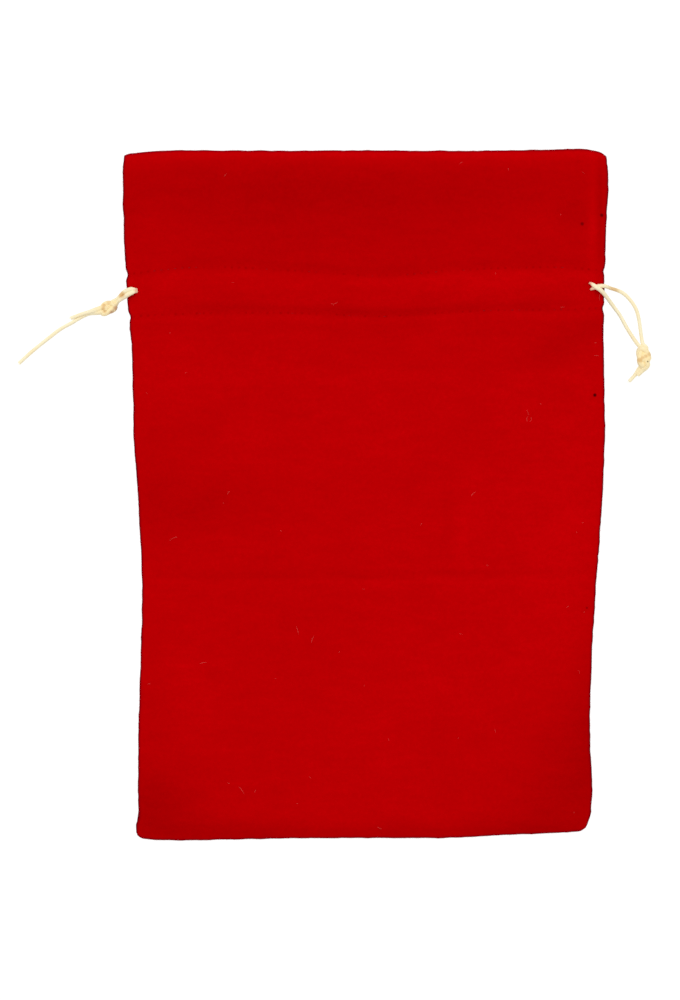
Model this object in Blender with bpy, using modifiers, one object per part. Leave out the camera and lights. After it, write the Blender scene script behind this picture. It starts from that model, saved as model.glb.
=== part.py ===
# Kinchaku drawstring pouch, sewn from two velvet panels, lying flat on its back with
# its mouth toward +Y. Metres, +Z up. The origin is under the middle of the pouch.

import math

import bmesh
import bpy
from mathutils import Vector

# Sewn size of the empty pouch
POUCH_HEIGHT = 0.300
MOUTH_WIDTH = 0.210
BOTTOM_WIDTH = 0.1965

# Velvet and the room between two layers of it
CLOTH = 0.0007
LAYER_GAP = 0.0003
LAYER_PITCH = CLOTH + LAYER_GAP
FOLD_RADIUS = LAYER_PITCH / 2
FOLD_ROOM = FOLD_RADIUS + CLOTH / 2

# Header and casing, measured down from the mouth
UPPER_ROW_DEPTH = 0.0529
LOWER_ROW_DEPTH = 0.0709
FACING_MARGIN = 0.0066
ROW_PINCH = 0.003
ROW_GROOVE = 0.00075

# Turnings inside the seams
SIDE_ALLOWANCE = 0.006
CASING_ALLOWANCE = 0.0012
BOTTOM_ALLOWANCE = 0.006
TOP_CLIP = 0.0055
BOTTOM_CLIP = 0.008
FACING_INSET = 0.012

# How far the front panel lifts off the back one, over the height at the seams
HEADER_LIFT = 0.0066
ROW_LIFT = 0.0051
CASING_LIFT = 0.0079
BODY_LIFT = 0.0055
CREASE_LIFT = 0.0051
CREASE_DEPTH = 0.1848
CREASE_REACH = 0.02
BOTTOM_SWELL = 0.045
LIFT_POWER = 6

# Drawstrings, their openings and the tunnel they run in
CORD_DIAMETER = 0.0015
CORD_CLEARANCE = 0.0003
TUNNEL_PITCH = CLOTH + CORD_DIAMETER + 2 * CORD_CLEARANCE
EYELET_WIDTH = 0.0027
EYELET_LENGTH = 0.0044
LEFT_EYELET_FROM_SEAM = 0.0047
RIGHT_EYELET_FROM_SEAM = 0.0061
EYELET_ABOVE_MIDDLE = 0.0016

# Sewing thread
THREAD_DIAMETER = 0.0003
THREAD_RADIUS = THREAD_DIAMETER / 2
SEAM_STITCH_INSET = 0.0035
SEAM_CORNER = 0.018

# How each side wanders from a straight taper: share of the height below the mouth,
# then how far the left and the right edge are pulled in
SIDE_WANDER = [
    (0.00, 0.0006, 0.0009),
    (0.05, -0.0005, -0.0005),
    (0.12, -0.0003, -0.0003),
    (0.17, 0.0002, 0.0001),
    (0.30, 0.0019, -0.0009),
    (0.42, 0.0022, -0.0023),
    (0.50, 0.0033, -0.0020),
    (0.62, 0.0038, -0.0003),
    (0.78, 0.0019, 0.0008),
    (0.93, 0.0001, -0.0002),
    (0.97, -0.0008, 0.0006),
    (1.00, 0.0002, 0.0036),
]

# How the stitch rows and the bottom seam wander: share of the half width from the
# middle, then the shift toward the mouth
UPPER_ROW_WANDER = [
    (-1.0, -0.0011), (-0.78, 0.0013), (-0.2, -0.0005), (0.06, -0.0022),
    (0.34, 0.0), (0.6, 0.0013), (0.9, 0.0013), (1.0, 0.0003),
]
LOWER_ROW_WANDER = [
    (-1.0, -0.0015), (-0.78, -0.0005), (-0.2, -0.0005), (0.06, -0.0016),
    (0.31, -0.0001), (0.52, 0.0010), (0.9, 0.0017), (1.0, 0.0024),
]
BOTTOM_WANDER = [
    (-1.0, 0.0017), (-0.94, 0.0003), (-0.84, 0.0), (-0.5, 0.0005), (0.0, 0.0009),
    (0.36, 0.0010), (0.58, 0.0022), (0.8, 0.0031), (0.93, 0.0045), (1.0, 0.0072),
]

# Where the columns of the cloth stand across a panel, as shares of its half width
COLUMN_SHARES = (0.3, 0.56, 0.75, 0.86, 0.93, 0.97, 1.0)

# Route of each drawstring from its knot, through its opening, round the casing in its
# own lane and back to the knot, in millimetres
LEFT_ROUTE = [
    (-106.6, 82.3, 2.5), (-104.9, 83.9, 3.9), (-103.2, 85.4, 5.3), (-101.2, 86.6, 6.5),
    (-99.2, 87.4, 6.8), (-98.35, 87.5, 5.4), (-97.3, 87.9, 4.3), (-95.0, 88.6, 4.7),
    (-91.2, 89.5, 5.95), (-86.0, 90.0, 7.2), (-80.0, 90.4, 8.1), (-65.0, 90.2, 9.35),
    (-45.0, 89.9, 9.8), (-20.0, 89.5, 9.85), (6.0, 88.1, 9.85), (34.0, 89.95, 9.85),
    (58.0, 91.05, 9.6), (75.0, 91.35, 8.65), (85.0, 91.4, 7.35), (90.0, 91.6, 6.4),
    (91.8, 91.8, 5.95), (93.2, 92.3, 4.6), (93.2, 93.1, 3.3), (91.8, 93.8, 2.15),
    (89.8, 94.1, 1.75), (85.0, 94.1, 1.75), (75.0, 94.05, 1.75), (58.0, 93.75, 1.75),
    (34.0, 92.65, 1.75), (6.0, 90.8, 1.75), (-20.0, 92.2, 1.75), (-45.0, 92.6, 1.75),
    (-65.0, 92.9, 1.75), (-80.0, 93.1, 1.75), (-90.0, 92.5, 1.75), (-94.5, 91.3, 1.85),
    (-97.2, 90.1, 2.6), (-98.2, 89.5, 3.9), (-98.35, 89.3, 5.4), (-99.3, 89.3, 6.9),
    (-101.3, 88.8, 6.6), (-103.4, 87.5, 5.5), (-105.3, 85.8, 4.1), (-107.1, 84.1, 2.6),
]
RIGHT_ROUTE = [
    (119.6, 64.8, 1.9), (117.6, 67.6, 0.9), (114.4, 72.6, 0.76), (111.3, 78.3, 0.76),
    (109.0, 81.4, 1.0), (106.6, 84.5, 2.6), (104.4, 87.1, 4.8), (102.4, 89.0, 6.9),
    (100.2, 90.6, 8.7), (98.3, 91.9, 7.3), (97.7, 91.8, 5.6), (96.6, 91.0, 4.65),
    (94.6, 89.6, 5.1), (91.5, 88.1, 6.05), (90.0, 87.9, 6.4), (85.0, 87.6, 7.35),
    (75.0, 87.55, 8.65), (58.0, 87.25, 9.6), (34.0, 86.15, 9.85), (6.0, 84.3, 9.85),
    (-20.0, 85.7, 9.85), (-45.0, 86.1, 9.8), (-65.0, 86.4, 9.35), (-80.0, 86.6, 8.1),
    (-86.0, 86.2, 7.2), (-89.4, 85.9, 6.4), (-91.2, 85.6, 5.95), (-92.6, 85.0, 4.6),
    (-92.6, 84.3, 3.3), (-91.2, 83.6, 2.15), (-89.2, 83.4, 1.75), (-80.0, 83.9, 1.75),
    (-65.0, 83.7, 1.75), (-45.0, 83.4, 1.75), (-20.0, 83.0, 1.75), (6.0, 81.6, 1.75),
    (34.0, 83.45, 1.75), (58.0, 84.55, 1.75), (75.0, 84.85, 1.75), (85.0, 84.9, 1.75),
    (90.0, 85.3, 1.75), (94.5, 87.0, 1.85), (96.8, 88.8, 2.6), (97.6, 89.7, 4.0),
    (97.7, 90.0, 5.6), (98.2, 90.0, 6.9), (100.2, 90.55, 6.75), (102.5, 90.9, 5.9),
    (104.6, 90.9, 4.7), (106.8, 90.1, 3.0), (109.6, 89.4, 1.5), (112.6, 88.1, 0.85),
    (115.6, 85.2, 0.76), (118.2, 81.3, 0.76), (119.4, 77.2, 0.76), (120.1, 72.6, 0.76),
    (120.7, 68.2, 0.9), (121.4, 65.1, 1.9),
]
CORD_STEP = 0.0095

# Tails, each from the knot to its cut end, in millimetres
TAILS = {
    "left_short_tail": [(-116.6, 80.0, 1.4), (-119.5, 79.2, 0.8), (-123.6, 78.1, 0.76),
                        (-127.8, 77.0, 0.76)],
    "left_long_tail": [(-116.4, 78.0, 1.4), (-119.8, 76.9, 0.8), (-123.8, 75.9, 0.76),
                       (-127.8, 74.7, 0.76), (-132.6, 72.5, 0.76), (-137.6, 68.7, 0.76),
                       (-145.2, 62.6, 0.76), (-150.9, 57.4, 0.76)],
    "right_long_tail": [(121.0, 54.9, 1.4), (119.6, 53.6, 0.8), (117.6, 51.9, 0.76),
                        (115.2, 50.0, 0.76)],
    "right_short_tail": [(123.0, 54.6, 1.4), (122.0, 53.0, 0.8), (120.8, 51.9, 0.76),
                         (119.4, 50.8, 0.76)],
}

# Each knot is an overhand knot in both strands: middle, half lengths and turn
KNOTS = {
    "left_knot": ((-111.7, 81.3), (0.0048, 0.0028, 0.0024), 20),
    "right_knot": ((121.7, 60.0), (0.0048, 0.0033, 0.0024), 104),
}

VELVET_RED = (0.475, 0.001, 0.0015)
THREAD_RED = (0.22, 0.002, 0.004)
CORD_CREAM = (0.92, 0.80, 0.52)


def clear_scene():
    for item in list(bpy.data.objects):
        bpy.data.objects.remove(item, do_unlink=True)


def make_collection(name):
    collection = bpy.data.collections.new(name)
    bpy.context.scene.collection.children.link(collection)
    return collection


def make_material(name, colour, roughness):
    material = bpy.data.materials.new(name)
    material.use_nodes = True
    shader = material.node_tree.nodes["Principled BSDF"]
    shader.inputs["Base Color"].default_value = (*colour, 1.0)
    shader.inputs["Roughness"].default_value = roughness
    shader.inputs["Metallic"].default_value = 0.0
    return material


def read_table(table, at, column=1):
    # straight lines between the rows of a table
    if at <= table[0][0]:
        return table[0][column]
    for low, high in zip(table, table[1:]):
        if at <= high[0]:
            share = (at - low[0]) / (high[0] - low[0])
            return low[column] + share * (high[column] - low[column])
    return table[-1][column]


def smooth_route(points, spacing):
    # a Catmull-Rom curve through the points, with a new point every spacing
    points = [Vector(p) for p in points]
    ends = [2 * points[0] - points[1]] + points + [2 * points[-1] - points[-2]]
    route = []
    for a, b, c, d in zip(ends, ends[1:], ends[2:], ends[3:]):
        steps = max(1, round((c - b).length / spacing))
        for step in range(steps):
            t = step / steps
            route.append(0.5 * (2 * b + (c - a) * t + (2 * a - 5 * b + 4 * c - d) * t ** 2
                                + (3 * b - a - 3 * c + d) * t ** 3))
    route.append(points[-1])
    return route


def pinched(depth):
    # 1 on a stitch row, 0 from ROW_PINCH away from it
    nearest = min(abs(depth - UPPER_ROW_DEPTH), abs(depth - LOWER_ROW_DEPTH))
    return max(0.0, 1.0 - nearest / ROW_PINCH)


def side_reach(depth):
    # x of the left and the right edge at this depth below the mouth
    share = min(1.0, max(0.0, depth / POUCH_HEIGHT))
    half = (MOUTH_WIDTH + (BOTTOM_WIDTH - MOUTH_WIDTH) * share) / 2 - ROW_GROOVE * pinched(depth)
    return (-half + read_table(SIDE_WANDER, share, 1), half - read_table(SIDE_WANDER, share, 2))


def across(depth):
    # middle and half width at this depth
    left, right = side_reach(depth)
    return (left + right) / 2, (right - left) / 2


def wander(share, depth):
    # how far the cloth at this place is shifted toward the mouth
    table = [
        (0.0, 0.0),
        (UPPER_ROW_DEPTH, read_table(UPPER_ROW_WANDER, share)),
        (LOWER_ROW_DEPTH, read_table(LOWER_ROW_WANDER, share)),
        (POUCH_HEIGHT * 0.5, 0.0),
        (POUCH_HEIGHT * 0.9, read_table(BOTTOM_WANDER, share) * 0.5),
        (POUCH_HEIGHT, read_table(BOTTOM_WANDER, share)),
    ]
    return read_table(table, depth)


def lift(depth):
    return read_table([
        (0.0, HEADER_LIFT - ROW_GROOVE),
        (UPPER_ROW_DEPTH * 0.35, HEADER_LIFT),
        (UPPER_ROW_DEPTH - ROW_PINCH, HEADER_LIFT),
        (UPPER_ROW_DEPTH, ROW_LIFT),
        (UPPER_ROW_DEPTH + ROW_PINCH, CASING_LIFT),
        (LOWER_ROW_DEPTH - ROW_PINCH, CASING_LIFT),
        (LOWER_ROW_DEPTH, ROW_LIFT),
        (LOWER_ROW_DEPTH + ROW_PINCH, BODY_LIFT),
        (CREASE_DEPTH - CREASE_REACH, BODY_LIFT),
        (CREASE_DEPTH, CREASE_LIFT),
        (CREASE_DEPTH + CREASE_REACH, BODY_LIFT),
        (POUCH_HEIGHT - BOTTOM_SWELL, BODY_LIFT),
        (POUCH_HEIGHT - BOTTOM_SWELL * 0.45, BODY_LIFT * 0.72),
        (POUCH_HEIGHT - BOTTOM_CLIP / 2, BODY_LIFT * 0.3),
        (POUCH_HEIGHT, 0.0),
    ], depth)


def facing_drop(depth):
    # from the outer layer to the facing behind it
    return read_table([
        (UPPER_ROW_DEPTH, LAYER_PITCH),
        (UPPER_ROW_DEPTH + ROW_PINCH, TUNNEL_PITCH),
        (LOWER_ROW_DEPTH - ROW_PINCH, TUNNEL_PITCH),
        (LOWER_ROW_DEPTH, LAYER_PITCH),
    ], depth)


def outer_height(front, x, depth):
    # height of the middle of a panel's outer layer
    base = CLOTH / 2 + ROW_GROOVE * pinched(depth)
    if not front:
        return base
    middle, half = across(depth)
    share = min(1.0, abs(x - middle) / half)
    return base + 3 * LAYER_PITCH + lift(depth) * (1 - share ** LIFT_POWER)


def allowance_width(depth):
    return read_table([
        (UPPER_ROW_DEPTH - 3 * ROW_PINCH, SIDE_ALLOWANCE),
        (UPPER_ROW_DEPTH - ROW_PINCH, CASING_ALLOWANCE),
        (LOWER_ROW_DEPTH + ROW_PINCH, CASING_ALLOWANCE),
        (LOWER_ROW_DEPTH + 3 * ROW_PINCH, SIDE_ALLOWANCE),
    ], depth)


def facing_inset(depth):
    return read_table([(0.0, 0.0005), (TOP_CLIP, 0.009), (0.35 * UPPER_ROW_DEPTH, FACING_INSET)], depth)


def fold_over(past):
    # past is measured along the cloth from where the turn starts; it gives how far
    # out the cloth then stands and how far it has dropped
    turn = math.pi * FOLD_RADIUS
    if past <= 0:
        return past, 0.0
    if past < turn:
        angle = past / FOLD_RADIUS
        return FOLD_RADIUS * math.sin(angle), FOLD_RADIUS * (1 - math.cos(angle))
    return turn - past, 2 * FOLD_RADIUS


def cloth_columns():
    # (side, share of the half width, place along the turning)
    turn = math.pi * FOLD_RADIUS
    turning = [(turn / 3, 0.0), (2 * turn / 3, 0.0), (turn, 0.0), (turn, 1.0)]
    left = [(-1, 1.0, place) for place in reversed(turning)]
    middle = [(-1, share, None) for share in reversed(COLUMN_SHARES)]
    middle += [(1, 0.0, None)]
    middle += [(1, share, None) for share in COLUMN_SHARES]
    right = [(1, 1.0, place) for place in turning]
    return left + middle + right


def between(start, stop, count):
    return [start + (stop - start) * n / (count + 1) for n in range(1, count + 1)]


def outer_depths():
    bottom = POUCH_HEIGHT - FOLD_ROOM
    body = LOWER_ROW_DEPTH + 3 * ROW_PINCH
    above_crease = CREASE_DEPTH - CREASE_REACH
    below_crease = CREASE_DEPTH + CREASE_REACH
    swell = POUCH_HEIGHT - BOTTOM_SWELL
    depths = [FOLD_ROOM, TOP_CLIP, UPPER_ROW_DEPTH * 0.35, UPPER_ROW_DEPTH * 0.66,
              UPPER_ROW_DEPTH - 3 * ROW_PINCH]
    depths += [UPPER_ROW_DEPTH - ROW_PINCH, UPPER_ROW_DEPTH, UPPER_ROW_DEPTH + ROW_PINCH]
    depths += [(UPPER_ROW_DEPTH + LOWER_ROW_DEPTH) / 2]
    depths += [LOWER_ROW_DEPTH - ROW_PINCH, LOWER_ROW_DEPTH, LOWER_ROW_DEPTH + ROW_PINCH, body]
    depths += between(body, above_crease, 3) + [above_crease, CREASE_DEPTH, below_crease]
    depths += between(below_crease, swell, 1) + [swell, POUCH_HEIGHT - BOTTOM_SWELL * 0.45]
    depths += [POUCH_HEIGHT - BOTTOM_CLIP, POUCH_HEIGHT - BOTTOM_CLIP / 2, bottom]
    return depths


def facing_depths():
    last = LOWER_ROW_DEPTH + ROW_PINCH
    return [depth for depth in outer_depths() if depth <= last] + [LOWER_ROW_DEPTH + FACING_MARGIN]


def cloth_rows():
    # (layer, depth, height dropped): the facing from its raw edge up, over the fold,
    # down the outer layer, round the bottom and up its turning
    turn = math.pi * FOLD_RADIUS
    rows = [("facing", depth, facing_drop(depth)) for depth in reversed(facing_depths())]
    for past in (2 * turn / 3, turn / 3):
        out, drop = fold_over(past)
        rows.append(("top", FOLD_ROOM - out, drop))
    rows += [("outer", depth, 0.0) for depth in outer_depths()]
    for past in (turn / 3, 2 * turn / 3, turn, turn + BOTTOM_ALLOWANCE / 2, turn + BOTTOM_ALLOWANCE):
        out, drop = fold_over(past)
        rows.append(("bottom", POUCH_HEIGHT - FOLD_ROOM + out, drop))
    return rows


def cloth_point(front, column, row):
    side, share, turning = column
    layer, depth, drop = row
    middle, half = across(depth)
    reach = half - FOLD_ROOM
    if layer == "facing":
        reach -= facing_inset(depth)
    elif layer == "bottom":
        reach -= 0.0005
    if turning is None:
        x = middle + side * share * reach
    else:
        out, side_drop = fold_over(turning[0] + turning[1] * allowance_width(depth))
        x = middle + side * (reach + out)
        drop += side_drop
    place = min(1.0, max(-1.0, (x - middle) / half))
    y = POUCH_HEIGHT / 2 - depth + wander(place, depth)
    height = outer_height(front, x, depth)
    return Vector((x, y, height - drop if front else height + drop))


def keeps_turning(row):
    # the side turnings stop short of the mouth and of the bottom corners
    layer, depth, drop = row
    return layer == "outer" and TOP_CLIP <= depth <= POUCH_HEIGHT - BOTTOM_CLIP


def link(item, collection, material):
    collection.objects.link(item)
    item.data.materials.append(material)
    return item


def make_panel(name, front, collection, material):
    columns = cloth_columns()
    rows = cloth_rows()
    mesh = bmesh.new()
    bmesh.ops.create_grid(mesh, x_segments=len(columns) - 1, y_segments=len(rows) - 1, size=1.0)
    surplus = []
    for vertex in mesh.verts:
        column = columns[round((vertex.co.x + 1) / 2 * (len(columns) - 1))]
        row = rows[round((vertex.co.y + 1) / 2 * (len(rows) - 1))]
        if column[2] is not None and not keeps_turning(row):
            surplus.append(vertex)
        else:
            vertex.co = cloth_point(front, column, row)
    bmesh.ops.delete(mesh, geom=surplus, context="VERTS")
    if front:
        bmesh.ops.reverse_faces(mesh, faces=mesh.faces)
    data = bpy.data.meshes.new(name)
    mesh.to_mesh(data)
    mesh.free()
    data.shade_smooth()
    panel = link(bpy.data.objects.new(name, data), collection, material)
    shell = panel.modifiers.new("Velvet", "SOLIDIFY")
    shell.thickness = CLOTH
    shell.offset = 0.0
    shell.use_even_offset = True
    return panel


def make_eyelet_cutter(name, side, from_seam, collection):
    # a slot through the outer layer alone
    depth = (UPPER_ROW_DEPTH + LOWER_ROW_DEPTH) / 2 - EYELET_ABOVE_MIDDLE
    left, right = side_reach(depth)
    x = right - from_seam if side > 0 else left + from_seam
    y = POUCH_HEIGHT / 2 - depth + wander(side, depth)
    mesh = bmesh.new()
    bmesh.ops.create_cone(mesh, cap_ends=True, segments=16, radius1=0.5, radius2=0.5, depth=1.0)
    reach = 2 * TUNNEL_PITCH
    for vertex in mesh.verts:
        vertex.co.x *= EYELET_WIDTH
        vertex.co.y *= EYELET_LENGTH
        vertex.co.z *= reach
    data = bpy.data.meshes.new(name)
    mesh.to_mesh(data)
    mesh.free()
    cutter = bpy.data.objects.new(name, data)
    collection.objects.link(cutter)
    floor = outer_height(False, x, depth) + 2 * LAYER_PITCH
    cutter.location = (x, y, floor + reach / 2)
    cutter.hide_render = True
    cutter.display_type = "WIRE"
    return cutter


def cut(target, cutter):
    boolean = target.modifiers.new("Cut " + cutter.name, "BOOLEAN")
    boolean.operation = "DIFFERENCE"
    boolean.solver = "EXACT"
    boolean.object = cutter


def make_tube(name, points, diameter, sides_step, closed, collection, material):
    curve = bpy.data.curves.new(name, "CURVE")
    curve.dimensions = "3D"
    curve.bevel_depth = diameter / 2
    curve.bevel_resolution = sides_step
    curve.use_fill_caps = not closed
    spline = curve.splines.new("POLY")
    spline.points.add(len(points) - 1)
    for slot, point in zip(spline.points, points):
        slot.co = (*point, 1.0)
    spline.use_cyclic_u = closed
    spline.use_smooth = True
    return link(bpy.data.objects.new(name, curve), collection, material)


def make_row_stitching(name, depth, collection, material):
    # one thread round the pouch in the groove of its row
    middle, half = across(depth)
    reach = half - FOLD_ROOM
    stand = CLOTH / 2 + LAYER_GAP + THREAD_RADIUS
    shares = [-share for share in reversed(COLUMN_SHARES)] + [0.0] + list(COLUMN_SHARES)

    def on_panel(front, share):
        x = middle + share * reach
        y = POUCH_HEIGHT / 2 - depth + wander((x - middle) / half, depth)
        height = outer_height(front, x, depth)
        return Vector((x, y, height + stand if front else height - stand))

    def beside(side):
        top = on_panel(True, side)
        low = on_panel(False, side)
        out = Vector((side * (FOLD_RADIUS + stand), 0, 0))
        inward = Vector((0, 0, stand + FOLD_RADIUS))
        return [top + out - inward, low + out + inward]

    route = [on_panel(True, share) for share in shares]
    route += beside(1)
    route += [on_panel(False, share) for share in reversed(shares)]
    route += reversed(beside(-1))
    return make_tube(name, route, THREAD_DIAMETER, 0, True, collection, material)


def make_seam_stitching(name, collection, material):
    # one thread through the turnings: down one side, along the bottom, up the other
    corner = SEAM_CORNER
    last = POUCH_HEIGHT - SEAM_STITCH_INSET

    def on_side(side, depth):
        left, right = side_reach(depth)
        x = right - SEAM_STITCH_INSET if side > 0 else left + SEAM_STITCH_INSET
        return x, depth

    start = TOP_CLIP + ROW_PINCH / 2
    down = [start] + [depth for depth in outer_depths() if start < depth < POUCH_HEIGHT - 2 * corner]
    down += [POUCH_HEIGHT - 1.6 * corner, POUCH_HEIGHT - corner]
    left_side = [on_side(-1, depth) for depth in down]
    right_side = [on_side(1, depth) for depth in down]
    left, right = left_side[-1][0], right_side[-1][0]
    bottom = [(left + 0.3 * corner, last - 0.33 * corner), (left + corner, last)]
    bottom += [(left + corner + (right - left - 2 * corner) * n / 8, last) for n in range(1, 8)]
    bottom += [(right - corner, last), (right - 0.3 * corner, last - 0.33 * corner)]
    route = []
    for x, depth in left_side + bottom + list(reversed(right_side)):
        middle, half = across(depth)
        y = POUCH_HEIGHT / 2 - depth + wander((x - middle) / half, depth)
        height = (outer_height(True, x, depth) + outer_height(False, x, depth)) / 2
        route.append(Vector((x, y, height)))
    return make_tube(name, route, THREAD_DIAMETER, 0, False, collection, material)


def in_metres(points):
    return [Vector(point) * 0.001 for point in points]


def make_cord(name, points, collection, material):
    route = smooth_route(in_metres(points), CORD_STEP)
    return make_tube(name, route, CORD_DIAMETER, 2, False, collection, material)


def make_knot(name, collection, material):
    # the outer shape of the drawn knot, lying on the surface under the pouch
    place, reach, turn = KNOTS[name]
    mesh = bmesh.new()
    bmesh.ops.create_cube(mesh, size=2.0)
    data = bpy.data.meshes.new(name)
    for vertex in mesh.verts:
        waist = 1.22 if vertex.co.x > 0 else 1.12
        vertex.co = Vector((vertex.co.x * 1.12, vertex.co.y * waist, vertex.co.z * 1.2))
        vertex.co = Vector(value * size for value, size in zip(vertex.co, reach))
    mesh.to_mesh(data)
    mesh.free()
    data.shade_smooth()
    knot = link(bpy.data.objects.new(name, data), collection, material)
    rounding = knot.modifiers.new("Round", "SUBSURF")
    rounding.levels = 2
    rounding.render_levels = 2
    knot.location = (place[0] * 0.001, place[1] * 0.001, reach[2])
    knot.rotation_euler = (0, 0, math.radians(turn))
    return knot


def main():
    clear_scene()
    pouch = make_collection("Kinchaku pouch")
    cutters = make_collection("Cutters")
    velvet = make_material("Velvet", VELVET_RED, 0.85)
    thread = make_material("Thread", THREAD_RED, 0.7)
    cord = make_material("Cord", CORD_CREAM, 0.8)

    front = make_panel("front_panel", True, pouch, velvet)
    cut(front, make_eyelet_cutter("left_eyelet", -1, LEFT_EYELET_FROM_SEAM, cutters))
    cut(front, make_eyelet_cutter("right_eyelet", 1, RIGHT_EYELET_FROM_SEAM, cutters))
    make_panel("back_panel", False, pouch, velvet)
    make_row_stitching("upper_casing_stitching", UPPER_ROW_DEPTH, pouch, thread)
    make_row_stitching("lower_casing_stitching", LOWER_ROW_DEPTH, pouch, thread)
    make_seam_stitching("seam_stitching", pouch, thread)

    make_cord("left_drawstring", LEFT_ROUTE, pouch, cord)
    make_cord("right_drawstring", RIGHT_ROUTE, pouch, cord)
    for name, points in TAILS.items():
        make_cord(name, points, pouch, cord)
    for name in KNOTS:
        make_knot(name, pouch, cord)


main()
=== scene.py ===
import math
import random

import bmesh
import bpy
import numpy as np
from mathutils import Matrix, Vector, noise


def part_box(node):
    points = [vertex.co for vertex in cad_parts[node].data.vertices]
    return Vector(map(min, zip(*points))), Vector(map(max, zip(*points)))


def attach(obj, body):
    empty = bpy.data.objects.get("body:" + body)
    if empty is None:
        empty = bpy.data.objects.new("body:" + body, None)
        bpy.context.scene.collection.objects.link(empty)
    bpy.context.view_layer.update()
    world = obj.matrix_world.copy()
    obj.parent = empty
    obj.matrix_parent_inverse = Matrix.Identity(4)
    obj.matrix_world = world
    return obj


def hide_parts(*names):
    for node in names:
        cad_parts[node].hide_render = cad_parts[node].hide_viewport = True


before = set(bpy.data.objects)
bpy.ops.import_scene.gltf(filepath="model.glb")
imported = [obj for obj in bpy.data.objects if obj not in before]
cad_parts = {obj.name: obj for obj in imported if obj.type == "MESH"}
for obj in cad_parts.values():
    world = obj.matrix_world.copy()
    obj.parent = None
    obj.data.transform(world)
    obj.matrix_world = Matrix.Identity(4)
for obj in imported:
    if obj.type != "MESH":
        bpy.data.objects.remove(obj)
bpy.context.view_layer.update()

# The photograph's frame: the pouch's own edges in it, in pixels
photo = {
    "width": 680,
    "height": 1000,
    "pouchLeft": 123.5,
    "pouchRight": 606.5,
    "pouchTop": 150,
    "pouchBottom": 840,
}

frontLow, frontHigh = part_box("front_panel")
pixel = (frontHigh[1] - frontLow[1]) / (photo["pouchBottom"] - photo["pouchTop"])
photoMiddle = ((photo["pouchLeft"] + photo["pouchRight"]) / 2,
               (photo["pouchTop"] + photo["pouchBottom"]) / 2)


def fromPhoto(column, row):
    # a pixel of the photograph as x and y on the pouch
    return (column - photoMiddle[0]) * pixel, (photoMiddle[1] - row) * pixel


# Short ways to add objects and nodes


def addObject(name, data):
    made = bpy.data.objects.new(name, data)
    bpy.context.scene.collection.objects.link(made)
    return made


def addNode(tree, kind, **options):
    node = tree.nodes.new(kind)
    for name, value in options.items():
        setattr(node, name, value)
    return node


def joinAll(tree, joins):
    # each join: a node and its output, then a node and its input
    for source, output, target, entry in joins:
        tree.links.new(source.outputs[output], target.inputs[entry])


# Camera: straight above, as the photograph was taken

camera = {
    "distance": 1.6,
    "sensor": 36.0,   # the long side's, in mm
    "focus": 0.006,   # height at which the pixels match the photograph
}


def addCamera():
    seen = bpy.data.cameras.new("overheadCamera")
    seen.sensor_width = camera["sensor"]
    tall = photo["height"] * pixel
    seen.lens = camera["sensor"] * camera["distance"] / tall
    holder = addObject("overheadCamera", seen)
    x, y = fromPhoto(photo["width"] / 2, photo["height"] / 2)
    holder.location = (x, y, camera["distance"] + camera["focus"])
    bpy.context.scene.camera = holder
    bpy.context.scene.view_settings.view_transform = "Standard"


# Studio: a white table, a soft lamp from beyond the mouth and an even white surround

studio = {
    "tableSize": 6.0,
    "tableDrop": 0.0002,
    "tableWhite": 0.93,
    "tableGlow": 1.13,
    "tableShare": 0.85,     # how much of the table's look is its own glow
    "surround": 0.70,
    "lampStrength": 1.05,
    "lampSoftness": 40.0,   # degrees across
    "lampTilt": 27.0,       # degrees from overhead, toward the mouth
    "lampTurn": 6.0,        # degrees toward the left side
}


def lightSurround():
    # the camera sees plain white; the surround lights the pouch a little less
    world = bpy.data.worlds.new("studioSurround")
    bpy.context.scene.world = world
    world.use_nodes = True
    tree = world.node_tree
    backdrop = tree.nodes["Background"]
    backdrop.inputs["Color"].default_value = (1.0, 1.0, 1.0, 1.0)
    rays = addNode(tree, "ShaderNodeLightPath")
    level = addNode(tree, "ShaderNodeMapRange")
    level.inputs["To Min"].default_value = studio["surround"]
    level.inputs["To Max"].default_value = 1.0
    joinAll(tree, [(rays, "Is Camera Ray", level, "Value"), (level, "Result", backdrop, "Strength")])


def makePaper():
    # partly aglow, where it is seen directly or mirrored, so that it stays white
    paper = bpy.data.materials.new("whiteTable")
    paper.use_nodes = True
    tree = paper.node_tree
    tree.nodes.clear()
    output = addNode(tree, "ShaderNodeOutputMaterial")
    mix = addNode(tree, "ShaderNodeMixShader")
    matt = addNode(tree, "ShaderNodeBsdfDiffuse")
    glow = addNode(tree, "ShaderNodeEmission")
    rays = addNode(tree, "ShaderNodeLightPath")
    mirrored = addNode(tree, "ShaderNodeMath", operation="MAXIMUM")
    seen = addNode(tree, "ShaderNodeMath", operation="MAXIMUM")
    part = addNode(tree, "ShaderNodeMath", operation="MULTIPLY")
    glow.inputs["Strength"].default_value = studio["tableGlow"]
    part.inputs[1].default_value = studio["tableShare"]
    matt.inputs["Color"].default_value = (*[studio["tableWhite"]] * 3, 1.0)
    joinAll(tree, [
        (rays, "Is Camera Ray", mirrored, 0), (rays, "Is Glossy Ray", mirrored, 1),
        (mirrored, 0, seen, 0), (rays, "Is Transmission Ray", seen, 1),
        (seen, 0, part, 0), (part, 0, mix, 0), (matt, 0, mix, 1), (glow, 0, mix, 2),
        (mix, 0, output, "Surface"),
    ])
    return paper


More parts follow.
